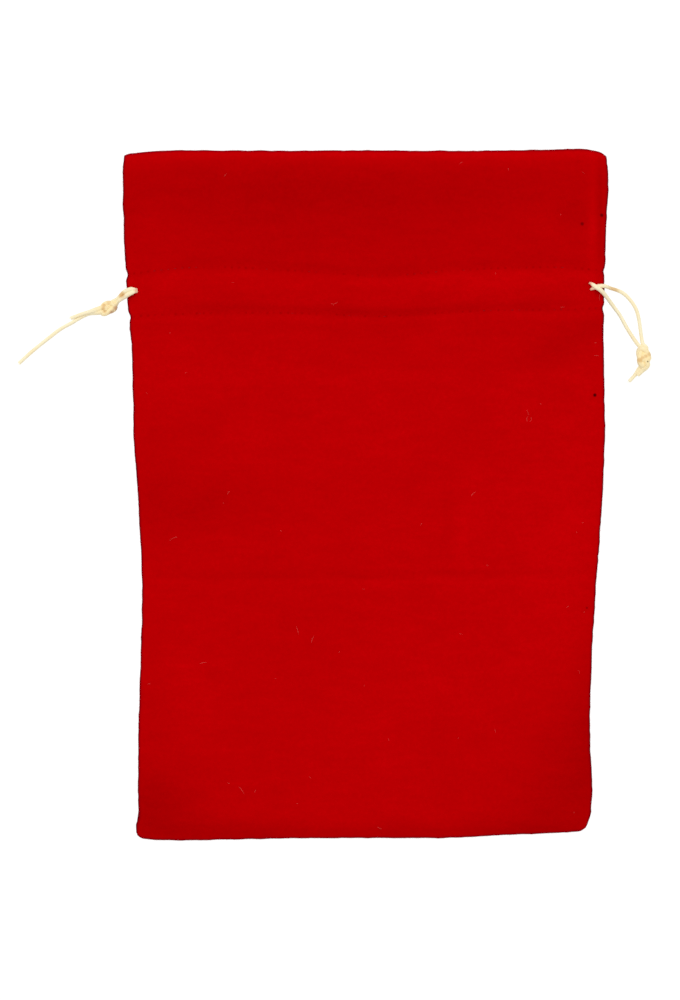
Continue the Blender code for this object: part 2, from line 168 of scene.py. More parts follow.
def addStudio():
    lightSurround()
    lamp = bpy.data.lights.new("softLamp", "SUN")
    lamp.energy = studio["lampStrength"]
    lamp.angle = math.radians(studio["lampSoftness"])
    holder = addObject("softLamp", lamp)
    holder.rotation_euler = (-math.radians(studio["lampTilt"]), -math.radians(studio["lampTurn"]), 0)
    bpy.ops.mesh.primitive_plane_add(size=studio["tableSize"], location=(0, 0, -studio["tableDrop"]))
    table = bpy.context.object
    table.name = "whiteTable"
    table.data.materials.append(makePaper())


# Small helpers for curves, tables and meshes


def readTable(table, at):
    # straight lines between a table's rows, for a number or an array
    rows = np.array(table, float)
    return np.interp(at, rows[:, 0], rows[:, 1])


def readSoft(table, at, column=1):
    # a smooth line through a table's rows
    rows = np.array(table, float)
    stops, heights = rows[:, 0], rows[:, column]
    slopes = np.gradient(heights, stops)
    at = np.clip(np.asarray(at, float), stops[0], stops[-1])
    low = np.clip(np.searchsorted(stops, at, side="right") - 1, 0, len(stops) - 2)
    span = stops[low + 1] - stops[low]
    t = (at - stops[low]) / span
    blend = t * t * (3 - 2 * t)
    lean = span * t * (1 - t) * (slopes[low] * (1 - t) - slopes[low + 1] * t)
    return heights[low] * (1 - blend) + heights[low + 1] * blend + lean


def smoothRoute(points, spacing):
    # a Catmull-Rom curve through the points
    points = [Vector(p) for p in points]
    ends = [2 * points[0] - points[1]] + points + [2 * points[-1] - points[-2]]
    route = []
    for a, b, c, d in zip(ends, ends[1:], ends[2:], ends[3:]):
        steps = max(1, round((c - b).length / spacing))
        for step in range(steps):
            t = step / steps
            route.append(0.5 * (2 * b + (c - a) * t + (2 * a - 5 * b + 4 * c - d) * t ** 2
                                + (3 * b - a - 3 * c + d) * t ** 3))
    route.append(points[-1])
    return np.array([tuple(p) for p in route])


def evenRoute(points, spacing):
    # the same line with points at even steps
    points = np.asarray(points, float)
    lengths = np.concatenate([[0], np.cumsum(np.linalg.norm(np.diff(points, axis=0), axis=1))])
    count = max(2, round(lengths[-1] / spacing) + 1)
    at = np.linspace(0, lengths[-1], count)
    return np.stack([np.interp(at, lengths, points[:, axis]) for axis in range(3)], axis=1)


def soften(line):
    # one round of smoothing, in place, that leaves the ends alone
    line[1:-1] = 0.5 * line[1:-1] + 0.25 * (line[:-2] + line[2:])


def cloudNoise(x, y, size, seed):
    # soft noise between -1 and 1 with features of this size, at each x and y
    flat = zip(np.ravel(x) / size, np.ravel(y) / size)
    values = [noise.noise(Vector((a, b, seed * 7.31))) for a, b in flat]
    return np.array(values).reshape(np.shape(x))


def fromSrgb(red, green, blue):
    def linear(value):
        value /= 255
        return value / 12.92 if value <= 0.04045 else ((value + 0.055) / 1.055) ** 2.4
    return linear(red), linear(green), linear(blue), 1.0


class Graph:
    # a material and its nodes, with short ways to add and join them

    def __init__(self, name):
        self.material = bpy.data.materials.new(name)
        self.material.use_nodes = True
        self.tree = self.material.node_tree
        self.shader = self.tree.nodes["Principled BSDF"]
        self.where = self.add("ShaderNodeTexCoord").outputs["Object"]

    def add(self, kind, **options):
        return addNode(self.tree, kind, **options)

    def join(self, source, target):
        self.tree.links.new(source, target)

    def feed(self, name, value):
        # a node's output, a number or a colour for one of the shader's own sockets
        if isinstance(value, bpy.types.NodeSocket):
            self.join(value, self.shader.inputs[name])
        else:
            self.shader.inputs[name].default_value = value

    def scaled(self, factors):
        # the place on the object, stretched or flattened
        made = self.add("ShaderNodeVectorMath", operation="MULTIPLY")
        made.inputs[1].default_value = factors
        self.join(self.where, made.inputs[0])
        return made.outputs["Vector"]

    def noise(self, where, size, detail=2.0, roughness=0.55):
        made = self.add("ShaderNodeTexNoise")
        made.inputs["Scale"].default_value = 1 / size
        made.inputs["Detail"].default_value = detail
        made.inputs["Roughness"].default_value = roughness
        self.join(where, made.inputs["Vector"])
        return made.outputs["Fac"]

    def attribute(self, name):
        return self.add("ShaderNodeAttribute", attribute_name=name).outputs["Fac"]

    def math(self, operation, *values):
        made = self.add("ShaderNodeMath", operation=operation)
        for slot, value in zip(made.inputs, values):
            if isinstance(value, (int, float)):
                slot.default_value = value
            else:
                self.join(value, slot)
        return made.outputs[0]

    def spread(self, value, low, high, first=0.0, last=1.0):
        made = self.add("ShaderNodeMapRange", interpolation_type="SMOOTHSTEP")
        for name, amount in zip(("From Min", "From Max", "To Min", "To Max"), (low, high, first, last)):
            made.inputs[name].default_value = amount
        self.join(value, made.inputs["Value"])
        return made.outputs["Result"]

    def ramp(self, value, *stops):
        made = self.add("ShaderNodeValToRGB")
        steps = made.color_ramp.elements
        while len(steps) < len(stops):
            steps.new(0.5)
        for step, (place, colour) in zip(steps, stops):
            step.position = place
            step.color = fromSrgb(*colour)
        self.join(value, made.inputs["Fac"])
        return made.outputs["Color"]

    def blend(self, share, first, colour):
        made = self.add("ShaderNodeMix", data_type="RGBA")
        self.join(share, made.inputs[0])
        self.join(first, made.inputs[6])
        made.inputs[7].default_value = fromSrgb(*colour)
        return made.outputs[2]

    def bump(self, height, strength, depth, under=None):
        made = self.add("ShaderNodeBump")
        made.inputs["Strength"].default_value = strength
        made.inputs["Distance"].default_value = depth
        self.join(height, made.inputs["Height"])
        if under is not None:
            self.join(under, made.inputs["Normal"])
        return made.outputs["Normal"]

    def near(self, where, point, reach):
        # 1 at a place and 0 beyond its reach
        made = self.add("ShaderNodeVectorMath", operation="DISTANCE")
        made.inputs[1].default_value = point
        self.join(where, made.inputs[0])
        return self.spread(made.outputs["Value"], 0.25 * reach, reach, 1.0, 0.0)


def fibreMaterial(name, size, first, last, roughness, specular):
    # two close tones in soft patches of this size, for fibres and thread
    graph = Graph(name)
    patches = graph.noise(graph.where, size)
    graph.feed("Base Color", graph.ramp(patches, first, last))
    graph.feed("Roughness", roughness)
    graph.feed("Specular IOR Level", specular)
    return graph, patches


def newCurve(name, radius, sides):
    curve = bpy.data.curves.new(name, "CURVE")
    curve.dimensions = "3D"
    curve.bevel_depth = radius
    curve.bevel_resolution = sides
    return curve


def addLine(curve, spots, radii):
    # one line of the curve, with its thickness at each point
    line = curve.splines.new("POLY")
    line.points.add(len(spots) - 1)
    for slot, (x, y, z), radius in zip(line.points, spots, radii):
        slot.co = (x, y, z, 1.0)
        slot.radius = radius
    return line


def lineObject(name, routes):
    # a mesh of edges alone, for the node groups
    mesh = bpy.data.meshes.new(name)
    points, edges = [], []
    for route in routes:
        first = len(points)
        points += [tuple(p) for p in route]
        edges += [(first + k, first + k + 1) for k in range(len(route) - 1)]
    mesh.from_pydata(points, edges, [])
    return addObject(name, mesh)


def curveToMesh(curve, name, material):
    piece = addObject(curve.name, curve)
    curve.materials.append(material)
    mesh = bpy.data.meshes.new_from_object(piece.evaluated_get(bpy.context.evaluated_depsgraph_get()))
    bpy.data.objects.remove(piece, do_unlink=True)
    return addObject(name, mesh)


# Velvet: short red pile, with the marks that handling and packing left in it, and painted shade and
# highlight along its creases, stitch rows, needle holes, folds and edges

velvet = {
    "red": (187, 0, 3),
    "paleRed": (207, 0, 6),
    "deepRed": (140, 0, 1),
    # colour of the painted shade where the cloth turns down at its folds
    "rimShade": (100, 0, 14),
    "dotShadeRed": (136, 0, 1),
    "speckRed": (60, 0, 4),
    "pileSize": 0.00042,
    "pileDepth": 0.0002,
    "nubSize": 0.0016,
    "streakSize": 0.0042,
    "cloudSize": 0.03,
    "weights": (0.28, 0.27, 0.22, 0.16),    # how much pile, nub, streak and cloud change the tone
    "middleTone": 0.71,
    "redTone": 0.72,        # the tone at which the pile is plain red
    "sheen": 0.08,
    "sheenTint": (1.0, 0.0, 0.01, 1.0),
    "roughness": 0.92,
    "patchy": 0.06,         # how far the roughness goes up and down
    "pileBump": 0.35,
    "nubBump": 0.3,
    "dotBump": 0.3,
    "stitchPitch": 0.00304,
    "dotReach": 0.00095,
    "dotShare": 0.36,
    "dotStray": 0.0009,
    # small dark specks: photograph column and row, reach in pixels, strength
    "specks": [(582, 224, 2.6, 0.6), (602, 215, 2.6, 0.7), (595, 395, 2.6, 0.95), (587, 608, 1.6, 0.5)],
}


def makeVelvet():
    graph = Graph("redVelvet")
    where = graph.where
    pile = graph.noise(where, velvet["pileSize"], 2.0, 0.6)
    nub = graph.noise(where, velvet["nubSize"], 3.0)
    streak = graph.noise(graph.scaled((0.3, 1.0, 1.0)), velvet["streakSize"], 3.0)
    cloud = graph.noise(where, velvet["cloudSize"], 3.0, 0.5)

    # the tone attribute holds pile marks together with painted shade and highlight
    total = graph.math("ADD", graph.attribute("tone"), velvet["middleTone"])
    for source, weight in zip((pile, nub, streak, cloud), velvet["weights"]):
        total = graph.math("MULTIPLY_ADD", graph.math("SUBTRACT", source, 0.5), weight, total)
    colour = graph.ramp(total, (0.0, velvet["deepRed"]), (velvet["redTone"], velvet["red"]),
                        (1.0, velvet["paleRed"]))

    # needle holes: one dimple for each stitch along the rows, its colour darkened as painted shade in the
    # hole
    pitch = velvet["stitchPitch"]
    uneven = graph.noise(where, pitch * 1.3, 1.0)
    shift = graph.math("MULTIPLY", graph.math("SUBTRACT", uneven, 0.5), velvet["dotStray"])
    along = graph.math("DIVIDE", graph.math("ADD", graph.attribute("alongRow"), shift), pitch)
    beside = graph.math("MULTIPLY", graph.math("SUBTRACT", graph.math("FRACT", along), 0.5), pitch)
    offRow = graph.math("ADD", graph.attribute("offRow"), graph.math("MULTIPLY", shift, 0.8))
    far = graph.math("SQRT", graph.math("ADD", graph.math("MULTIPLY", beside, beside),
                                        graph.math("MULTIPLY", offRow, offRow)))
    dot = graph.spread(far, 0.15 * velvet["dotReach"], velvet["dotReach"], 1.0, 0.0)
    dot = graph.math("MULTIPLY", dot, graph.spread(uneven, 0.38, 0.62, 0.15, 1.0))
    colour = graph.blend(graph.math("MULTIPLY", dot, velvet["dotShare"]), colour, velvet["dotShadeRed"])

    flat = graph.scaled((1.0, 1.0, 0.0))
    for column, row, reach, strength in velvet["specks"]:
        speck = graph.near(flat, (*fromPhoto(column, row), 0.0), reach * pixel)
        speck = graph.math("MULTIPLY", graph.math("MULTIPLY", speck, strength), graph.attribute("isFront"))
        colour = graph.blend(speck, colour, velvet["speckRed"])
    # painted shade along the folds, where the cloth turns down
    graph.feed("Base Color", graph.blend(graph.attribute("rimShade"), colour, velvet["rimShade"]))

    smooth, rough = velvet["roughness"] - velvet["patchy"], velvet["roughness"] + velvet["patchy"]
    graph.feed("Roughness", graph.spread(nub, 0.2, 0.8, smooth, rough))
    coarse = graph.bump(nub, velvet["nubBump"], velvet["pileDepth"] * 1.6)
    dimple = graph.bump(graph.math("SUBTRACT", 1.0, dot), velvet["dotBump"], velvet["pileDepth"], coarse)
    graph.feed("Normal", graph.bump(pile, velvet["pileBump"], velvet["pileDepth"], dimple))

    graph.feed("Specular IOR Level", 0.0)
    graph.feed("Sheen Weight", velvet["sheen"])
    graph.feed("Sheen Roughness", 0.45)
    graph.feed("Sheen Tint", velvet["sheenTint"])
    return graph.material


# Pouch: the same cut and folds as the CAD panels, in metres

pouch = {
    "height": frontHigh[1] - frontLow[1],
    "mouthWidth": frontHigh[0] - frontLow[0],
    "bottomWidth": 0.1965,
    "cloth": 0.0007,
    "layerGap": 0.0003,
    "upperRow": 0.0529,
    "lowerRow": 0.0709,
    "facingMargin": 0.0066,
    "rowPinch": 0.003,
    "rowGroove": 0.00075,
    "sideAllowance": 0.006,
    "casingAllowance": 0.0012,
    "bottomAllowance": 0.006,
    "topClip": 0.0055,
    "bottomClip": 0.008,
    "facingInset": 0.012,
    "creaseDepth": 0.1848,
    "bottomSwell": 0.045,
    "cord": 0.0015,
    "cordClearance": 0.0003,
}
layerPitch = pouch["cloth"] + pouch["layerGap"]
foldRadius = layerPitch / 2
foldRoom = foldRadius + pouch["cloth"] / 2
tunnelPitch = pouch["cloth"] + pouch["cord"] + 2 * pouch["cordClearance"]

# share of the height below the mouth, then how far the left and right edge are pulled in
sideWander = [
    (0.00, -0.0003, -0.0003), (0.02, -0.0010, -0.0015), (0.05, -0.0012, -0.0017), (0.12, -0.0012, -0.0012),
    (0.17, -0.0008, -0.0011), (0.30, 0.0012, -0.0014), (0.42, 0.0013, -0.0026),
    (0.50, 0.0024, -0.0022), (0.62, 0.0035, -0.0004), (0.78, 0.0015, 0.0012),
    (0.87, 0.0003, 0.0009), (0.93, -0.0001, -0.0003), (0.97, -0.0004, 0.0000), (0.99, -0.0014, 0.0008),
    (1.00, -0.0012, 0.0020),
]

# share of the half width from the middle, then the shift toward the mouth
mouthWander = [
    (-1.0, -0.0022), (-0.98, -0.0014), (-0.95, -0.0010), (-0.9, -0.0007), (-0.5, -0.0005),
    (0.0, -0.0004), (0.6, -0.0004), (0.75, 0.0), (0.85, 0.0004), (0.92, 0.0004),
    (0.96, -0.0002), (0.985, -0.0012), (1.0, -0.0024),
]
upperRowWander = [
    (-1.0, -0.0011), (-0.78, 0.0013), (-0.2, -0.0005), (0.06, -0.0022),
    (0.34, 0.0), (0.6, 0.0013), (0.9, 0.0013), (1.0, 0.0003),
]
lowerRowWander = [
    (-1.0, -0.0015), (-0.78, -0.0005), (-0.2, -0.0005), (0.06, -0.0016),
    (0.31, -0.0001), (0.52, 0.0010), (0.9, 0.0017), (1.0, 0.0024),
]
bottomWander = [
    (-1.0, 0.0022), (-0.985, 0.0008), (-0.95, 0.0001), (-0.85, -0.0003), (-0.5, 0.0001),
    (0.0, 0.0006), (0.36, 0.0006), (0.47, 0.0009), (0.58, 0.0017), (0.7, 0.0022),
    (0.8, 0.0025), (0.915, 0.0031), (0.95, 0.0034), (0.98, 0.0040), (1.0, 0.0056),
]


def rowOffset(depth):
    # distance from the nearest stitch row
    return np.minimum(abs(depth - pouch["upperRow"]), abs(depth - pouch["lowerRow"]))


def nearRow(depth, reach):
    # 1 on a stitch row and 0 from this far away
    near = np.clip(1 - rowOffset(depth) / reach, 0, 1)
    return near * near * (3 - 2 * near)


def across(depth):
    # middle and half width at this depth below the mouth
    share = np.clip(depth / pouch["height"], 0, 1)
    straight = pouch["mouthWidth"] - 0.001 + (pouch["bottomWidth"] - pouch["mouthWidth"] + 0.001) * share
    half = straight / 2 - pouch["rowGroove"] * nearRow(depth, pouch["rowPinch"])
    left = -half + readSoft(sideWander, share, 1)
    right = half - readSoft(sideWander, share, 2)
    return (left + right) / 2, (right - left) / 2


def wander(share, depth):
    # shift of the cloth toward the mouth
    upper, lower = readSoft(upperRowWander, share), readSoft(lowerRowWander, share)
    bottom = readSoft(bottomWander, share)
    mouth = readSoft(mouthWander, share)
    stops = [0.0, pouch["upperRow"], pouch["lowerRow"], pouch["height"] * 0.5,
             pouch["height"] * 0.9, pouch["height"]]
    shifts = [mouth, upper, lower, 0 * upper, bottom * 0.5, bottom]
    depth = np.clip(depth, 0, pouch["height"])
    total = 0 * upper
    for low, high, first, last in zip(stops, stops[1:], shifts, shifts[1:]):
        inside = (depth >= low) & (depth <= high)
        part = (depth - low) / (high - low)
        total = np.where(inside, first + (last - first) * part, total)
    return total


def lift(depth):
    # how far the front stands over the flat stack, along its middle
    p = pouch
    casing = (p["upperRow"] + p["lowerRow"]) / 2
    return readSoft([
        (0.0, 0.0058),
        (0.004, 0.0063),
        (p["upperRow"] * 0.35, 0.0066),
        (p["upperRow"] - 0.0085, 0.0066),
        (p["upperRow"] - 0.003, 0.00645),
        (p["upperRow"], 0.0055),
        (p["upperRow"] + 0.003, 0.0073),
        (casing - 0.003, 0.0082),
        (casing + 0.003, 0.0082),
        (p["lowerRow"] - 0.003, 0.0073),
        (p["lowerRow"], 0.0050),
        (p["lowerRow"] + 0.003, 0.0056),
        (p["lowerRow"] + 0.010, 0.0056),
        (p["creaseDepth"] - 0.02, 0.0055),
        (p["creaseDepth"] - 0.004, 0.0054),
        (p["creaseDepth"], 0.0051),
        (p["creaseDepth"] + 0.004, 0.0054),
        (p["creaseDepth"] + 0.02, 0.0055),
        (p["height"] - p["bottomSwell"], 0.0055),
        (p["height"] - p["bottomSwell"] * 0.45, 0.0040),
        (p["height"] - p["bottomClip"] / 2, 0.0017),
        (p["height"], 0.0),
    ], depth)


def facingDrop(depth):
    p = pouch
    return readTable([
        (p["upperRow"], layerPitch),
        (p["upperRow"] + p["rowPinch"], tunnelPitch),
        (p["lowerRow"] - p["rowPinch"], tunnelPitch),
        (p["lowerRow"], layerPitch),
    ], depth)


def outerHeight(front, x, depth):
    base = pouch["cloth"] / 2 + pouch["rowGroove"] * nearRow(depth, pouch["rowPinch"])
    if not front:
        return base + 0 * x
    middle, half = across(depth)
    share = np.clip(abs(x - middle) / half, 0, 1)
    return base + 3 * layerPitch + lift(depth) * (1 - share ** 6)


def allowanceWidth(depth):
    p = pouch
    return readTable([
        (p["upperRow"] - 3 * p["rowPinch"], p["sideAllowance"]),
        (p["upperRow"] - p["rowPinch"], p["casingAllowance"]),
        (p["lowerRow"] + p["rowPinch"], p["casingAllowance"]),
        (p["lowerRow"] + 3 * p["rowPinch"], p["sideAllowance"]),
    ], depth)


def facingInset(depth):
    stops = [(0.0, 0.0005), (pouch["topClip"], 0.009), (0.35 * pouch["upperRow"], pouch["facingInset"])]
    return readTable(stops, depth)


def foldOver(past):
    # past the start of a turn: how far out the cloth stands and how far it has dropped
    turn = math.pi * foldRadius
    past = np.asarray(past, float)
    angle = np.clip(past / foldRadius, 0, math.pi)
    out = np.where(past <= 0, past, np.where(past < turn, foldRadius * np.sin(angle), turn - past))
    return out, foldRadius * (1 - np.cos(angle))


weave = {
    "columns": 96,       # across the middle of a panel
    "edgeColumns": 9,    # close together beside each seam
    "turnSteps": 6,      # round each fold
    "rowSpacing": 0.0021,
    "fineSpacing": 0.0006,
    "fineReach": 0.0042,
    "clipStep": 0.0002,  # between the rows on both sides of a turning's end
    "facingSpacing": 0.004,
    "edgeWobble": 0.00035,
    "sideWaves": (0.0052, 0.0021),   # lengths of the long and short waves along the folds
    "endWaves": (0.0060, 0.0022),
    "edgePucker": 0.00022,
    "edgePuckerSize": 0.0075,
    "rowPucker": 0.00022,
    "rowPuckerSize": 0.0055,
    "sag": 0.0004,
    "sagSize": 0.045,
    "frontSeed": 3,
    "backSeed": 11,
}


def panelColumns():
    turn = math.pi * foldRadius
    middle = np.linspace(-0.94, 0.94, weave["columns"])
    right = np.linspace(0.94, 1.0, weave["edgeColumns"] + 1)[1:]
    shares = np.concatenate([-right[::-1], middle, right])
    turns = turn * np.linspace(0, 1, weave["turnSteps"] + 1)[1:]
    columns = [(share, 0.0, 0.0) for share in shares]
    over = [(1.0, past, 0.0) for past in turns] + [(1.0, turn, flat) for flat in (0.35, 0.7, 1.0)]
    left = [(-share, past, flat) for share, past, flat in reversed(over)]
    return np.array(left + columns + over)


def besideClips(depth):
    # where the side turnings run, between their clipped ends
    small = weave["clipStep"] / 4
    return pouch["topClip"] - small <= depth <= pouch["height"] - pouch["bottomClip"] + small


def outerDepths(front):
    p = pouch
    start, end = foldRoom, p["height"] - foldRoom
    coarse = weave["rowSpacing"] * (1 if front else 1.8)
    stops = list(np.arange(start, end, coarse))
    zones = [(start, start + 0.004), (end - 0.006, end)]
    reach = weave["fineReach"]
    zones += [(p[row] - reach, p[row] + reach) for row in ("upperRow", "lowerRow")]
    for low, high in zones:
        stops = [s for s in stops if not low - 0.0003 < s < high + 0.0003]
        stops += list(np.arange(low, high + 1e-6, weave["fineSpacing"]))
    clips = [p["topClip"] - weave["clipStep"], p["topClip"],
             p["height"] - p["bottomClip"], p["height"] - p["bottomClip"] + weave["clipStep"]]
    stops = [s for s in stops if min(abs(s - clip) for clip in clips) > 2 * weave["clipStep"]]
    stops = sorted(s for s in stops + clips if start <= s <= end)
    return np.array([start] + [s for s in stops if start + 1e-4 < s < end - 1e-4] + [end])


def panelRows(front):
    # layer (0 facing, 3 mouth fold, 1 outer cloth, 2 bottom turning), depth, drop
    p = pouch
    turn = math.pi * foldRadius
    last = p["lowerRow"] + p["facingMargin"]
    inner = np.concatenate([np.arange(foldRoom, last, weave["facingSpacing"]), [last]])
    rows = [(0, depth, float(facingDrop(depth))) for depth in inner[::-1]]
    for past in turn * np.linspace(1, 0, weave["turnSteps"] + 1)[1:-1]:
        out, drop = foldOver(past)
        rows.append((3, foldRoom - float(out), float(drop)))
    rows += [(1, depth, 0.0) for depth in outerDepths(front)]
    past = list(turn * np.linspace(0, 1, weave["turnSteps"] + 1)[1:])
    past += [turn + p["bottomAllowance"] * share for share in (0.3, 0.65, 1.0)]
    for step in past:
        out, drop = foldOver(step)
        rows.append((2, p["height"] - foldRoom + float(out), float(drop)))
    return np.array(rows)


def shapePanel(front, columns, rows):
    # where every column and row of the cloth lies, and how far from the side folds
    share, past, flat = (columns[:, k][None, :] for k in range(3))
    layer, depth, drop = (rows[:, k][:, None] for k in range(3))
    share, depth = np.broadcast_arrays(share, depth)
    middle, half = across(depth)
    reach = half - foldRoom
    reach = reach - np.where(layer == 0, facingInset(depth), 0) - np.where(layer == 2, 0.0005, 0)
    flatTop = np.clip((pouch["topClip"] - depth) / weave["clipStep"], 0, 1)
    flatEnd = np.clip((depth - pouch["height"] + pouch["bottomClip"]) / weave["clipStep"], 0, 1)
    reach = reach + np.where(layer == 0, 0, 1) * np.maximum(flatTop, flatEnd) * foldRoom
    out, sideDrop = foldOver(np.where(flat > 0, past + flat * allowanceWidth(depth), past))
    side = np.sign(share)
    x = middle + np.where(past > 0, side * (reach + out), share * reach)
    place = np.clip((x - middle) / half, -1, 1)
    y = pouch["height"] / 2 - depth + wander(place, depth)
    z = outerHeight(front, x, depth)

    seed = weave["frontSeed"] if front else weave["backSeed"]
    fromEdge = (1 - abs(place)) * half
    alongEdge = np.exp(-fromEdge / 0.004)
    long, short = weave["sideWaves"]
    wobble = cloudNoise(side * 5, y, long, seed) + 0.6 * cloudNoise(side * 5, y, short, seed + 1)
    x = x + side * alongEdge * weave["edgeWobble"] * wobble
    fromTop, fromBottom = depth, pouch["height"] - depth
    long, short = weave["endWaves"]
    topWobble = cloudNoise(x, 0 * y, long, seed + 2) + 0.5 * cloudNoise(x, 0 * y, short, seed + 5)
    ends = np.exp(-fromTop / 0.003) + np.exp(-fromBottom / 0.003)
    y = y + np.where(fromTop < fromBottom, 1, -1) * ends * weave["edgeWobble"] * topWobble * 0.8

    if front:
        pucker = cloudNoise(0 * x, y, weave["edgePuckerSize"], 4)
        pucker = np.exp(-fromEdge / 0.007) * pucker * weave["edgePucker"]
        waves = cloudNoise(x, y * 0.25, weave["rowPuckerSize"], 6)
        waves = np.exp(-rowOffset(depth) / 0.005) * waves * weave["rowPucker"]
        sag = cloudNoise(x, y, weave["sagSize"], 8) * weave["sag"] * (1 - abs(place) ** 4)
        sag = sag * (1 - nearRow(depth, 0.018))
        outside = np.where((layer == 1) & (past == 0), 1.0, 0.0)
        fade = np.clip(fromEdge / 0.004, 0, 1) * np.clip(fromBottom / 0.006, 0, 1)
        z = z + (sag + waves + pucker) * fade * np.where(layer == 0, 0.6, outside)
    z = z - drop - sideDrop if front else z + drop + sideDrop
    return np.stack([x, y, z], axis=2), fromEdge


# Marks in the pile: middle and reach in the photograph's pixels, turn in
# degrees, and how much darker or lighter
# Many of these are painted shade and highlight: the crease's dark line with the light strip below it, the
# bright mouth fold, the darker header, the bands by the lower stitch row and the hem's edge, and the
# darker bottom edge and corners; the rest are marks in the nap.
pileMarksAndShade = [
    (330, 205, 270, 44, 0, -0.09), (330, 246, 290, 22, 0, -0.08),
    (560, 205, 50, 40, 0, 0.05), (592, 214, 4, 52, 0, 0.12), (600, 214, 2.5, 54, 0, -0.16),
    (575, 215, 14, 14, 0, -0.12), (520, 290, 90, 20, 0, 0.05), (565, 343, 50, 13, 27, -0.15),
    (364, 326, 240, 7, 0, -0.05), (364, 381, 245, 10, 0, 0.04), (364, 388, 245, 3, 0, -0.03),
    (195, 505, 56, 30, 8, -0.19), (150, 475, 20, 60, 0, -0.08), (212, 430, 60, 8, 48, -0.06),
    (447, 530, 5, 30, 0, -0.07), (462, 530, 5, 30, 0, 0.04), (285, 632, 6, 34, 0, -0.06),
    (255, 575, 145, 2, 0, -0.29), (490, 571.5, 115, 2, 1, -0.06), (364, 580, 235, 4, 0, 0.04),
    (560, 520, 50, 150, 0, 0.07), (270, 660, 60, 70, 0, -0.03), (150, 720, 22, 80, 0, -0.08),
    (364, 780, 300, 60, 0, -0.02), (146, 806, 50, 36, 10, -0.29), (215, 830, 80, 13, 0, -0.16),
    (364, 834, 240, 7, 0, -0.10), (585, 770, 110, 50, 65, -0.28), (510, 832, 80, 14, 0, -0.10),
    (592, 700, 13, 80, 0, -0.08), (364, 155, 235, 3, 0, 0.08), (365, 304, 90, 7, 0, 0.06),
    (250, 205, 90, 35, 0, -0.04),
]

# depth below the mouth, then how much lighter or darker the pile is painted there: painted highlight along
# the mouth fold and just below the lower row, painted shade in and above the upper row and over the
# casing's lower part
rowShading = [
    (0.0, 0.04), (0.002, 0.05), (0.004, 0.0), (0.0440, 0.0), (0.0500, -0.04), (0.0529, -0.07),
    (0.0545, 0.0), (0.0600, -0.01), (0.0650, -0.02), (0.0695, -0.02), (0.0709, -0.02), (0.0722, 0.03),
    (0.0745, 0.0), (0.0800, 0.0), (0.3000, 0.0),
]


def pileToneAndShade(x, y):
    # the marks' sum at each place, painted shade and highlight included
    total = np.zeros(np.shape(x))
    for column, row, wide, tall, turn, strength in pileMarksAndShade:
        markX, markY = fromPhoto(column, row)
        c, s = math.cos(math.radians(turn)), math.sin(math.radians(turn))
        along = ((x - markX) * c + (y - markY) * s) / (wide * pixel)
        over = (-(x - markX) * s + (y - markY) * c) / (tall * pixel)
        total += strength * np.exp(-(along ** 2 + over ** 2) * 0.9)
    return total


# painted shade: the pile is painted darker near each fold
rimShadeReach = 0.0011    # how far in from a fold the pile looks darker


def markPileAndShade(layers, vertex, front, tone, row, inward, past):
    # what the velvet's material reads at each point; past is how far round a turn it lies
    layer, depth = row[0], row[1]
    # the tone adds the rows' painted shade and highlight on the outer cloth
    vertex[layers["tone"]] = tone + float(readSoft(rowShading, depth)) * (layer == 1)
    vertex[layers["alongRow"]] = vertex.co.x + 0.5
    vertex[layers["offRow"]] = float(rowOffset(depth)) if layer == 1 else 0.02
    vertex[layers["isFront"]] = 1.0 if front else 0.0
    # painted shade: darker round each fold's turn and close to the folds
    dark = 0.55 + 0.5 * past if past > 0 else 1.0 - inward / rimShadeReach
    vertex[layers["rimShade"]] = min(1.0, max(0.0, dark))


def makePanel(name, front, material):
    columns, rows = panelColumns(), panelRows(front)
    places, fromEdge = shapePanel(front, columns, rows)
    grid = bmesh.new()
    bmesh.ops.create_grid(grid, x_segments=len(columns) - 1, y_segments=len(rows) - 1, size=1.0)
    names = ("tone", "rimShade", "alongRow", "offRow", "isFront")
    layers = {key: grid.verts.layers.float.new(key) for key in names}
    # pile marks with painted shade and highlight, on the front only
    tones = pileToneAndShade(places[:, :, 0], places[:, :, 1]) if front else 0 * fromEdge
    surplus = []
    for vertex in grid.verts:
        column = round((vertex.co.x + 1) / 2 * (len(columns) - 1))
        row = round((vertex.co.y + 1) / 2 * (len(rows) - 1))
        layer, depth, drop = rows[row]
        turned = columns[column][1]
        if turned > 0 and not (layer == 1 and besideClips(depth)):
            surplus.append(vertex)
            continue
        vertex.co = places[row, column]
        past = max(turned, drop if layer in (2, 3) else 0) / foldRadius
        inward = min(fromEdge[row, column], depth, pouch["height"] - depth)
        markPileAndShade(layers, vertex, front, tones[row, column], rows[row], inward, past)
    bmesh.ops.delete(grid, geom=surplus, context="VERTS")
    if front:
        bmesh.ops.reverse_faces(grid, faces=grid.faces)
    mesh = bpy.data.meshes.new(name)
    grid.to_mesh(mesh)
    grid.free()
    mesh.shade_smooth()
    panel = addObject(name, mesh)
    mesh.materials.append(material)
    wall = panel.modifiers.new("cloth", "SOLIDIFY")
    wall.thickness = pouch["cloth"]
    wall.offset = 0.0
    wall.use_even_offset = True
    return panel


# Eyelets: small holes through the front's outer layer, one or two for each cord

eyelets = {
    "width": 0.0011,
    "tall": 0.005,
    "middle": 0.0055,    # height of the cutters' middle
    # x, y and length in metres
    "holes": [(-0.0994, 0.0889, 0.0021), (0.0977, 0.0919, 0.0012), (0.0982, 0.0895, 0.0012)],
}


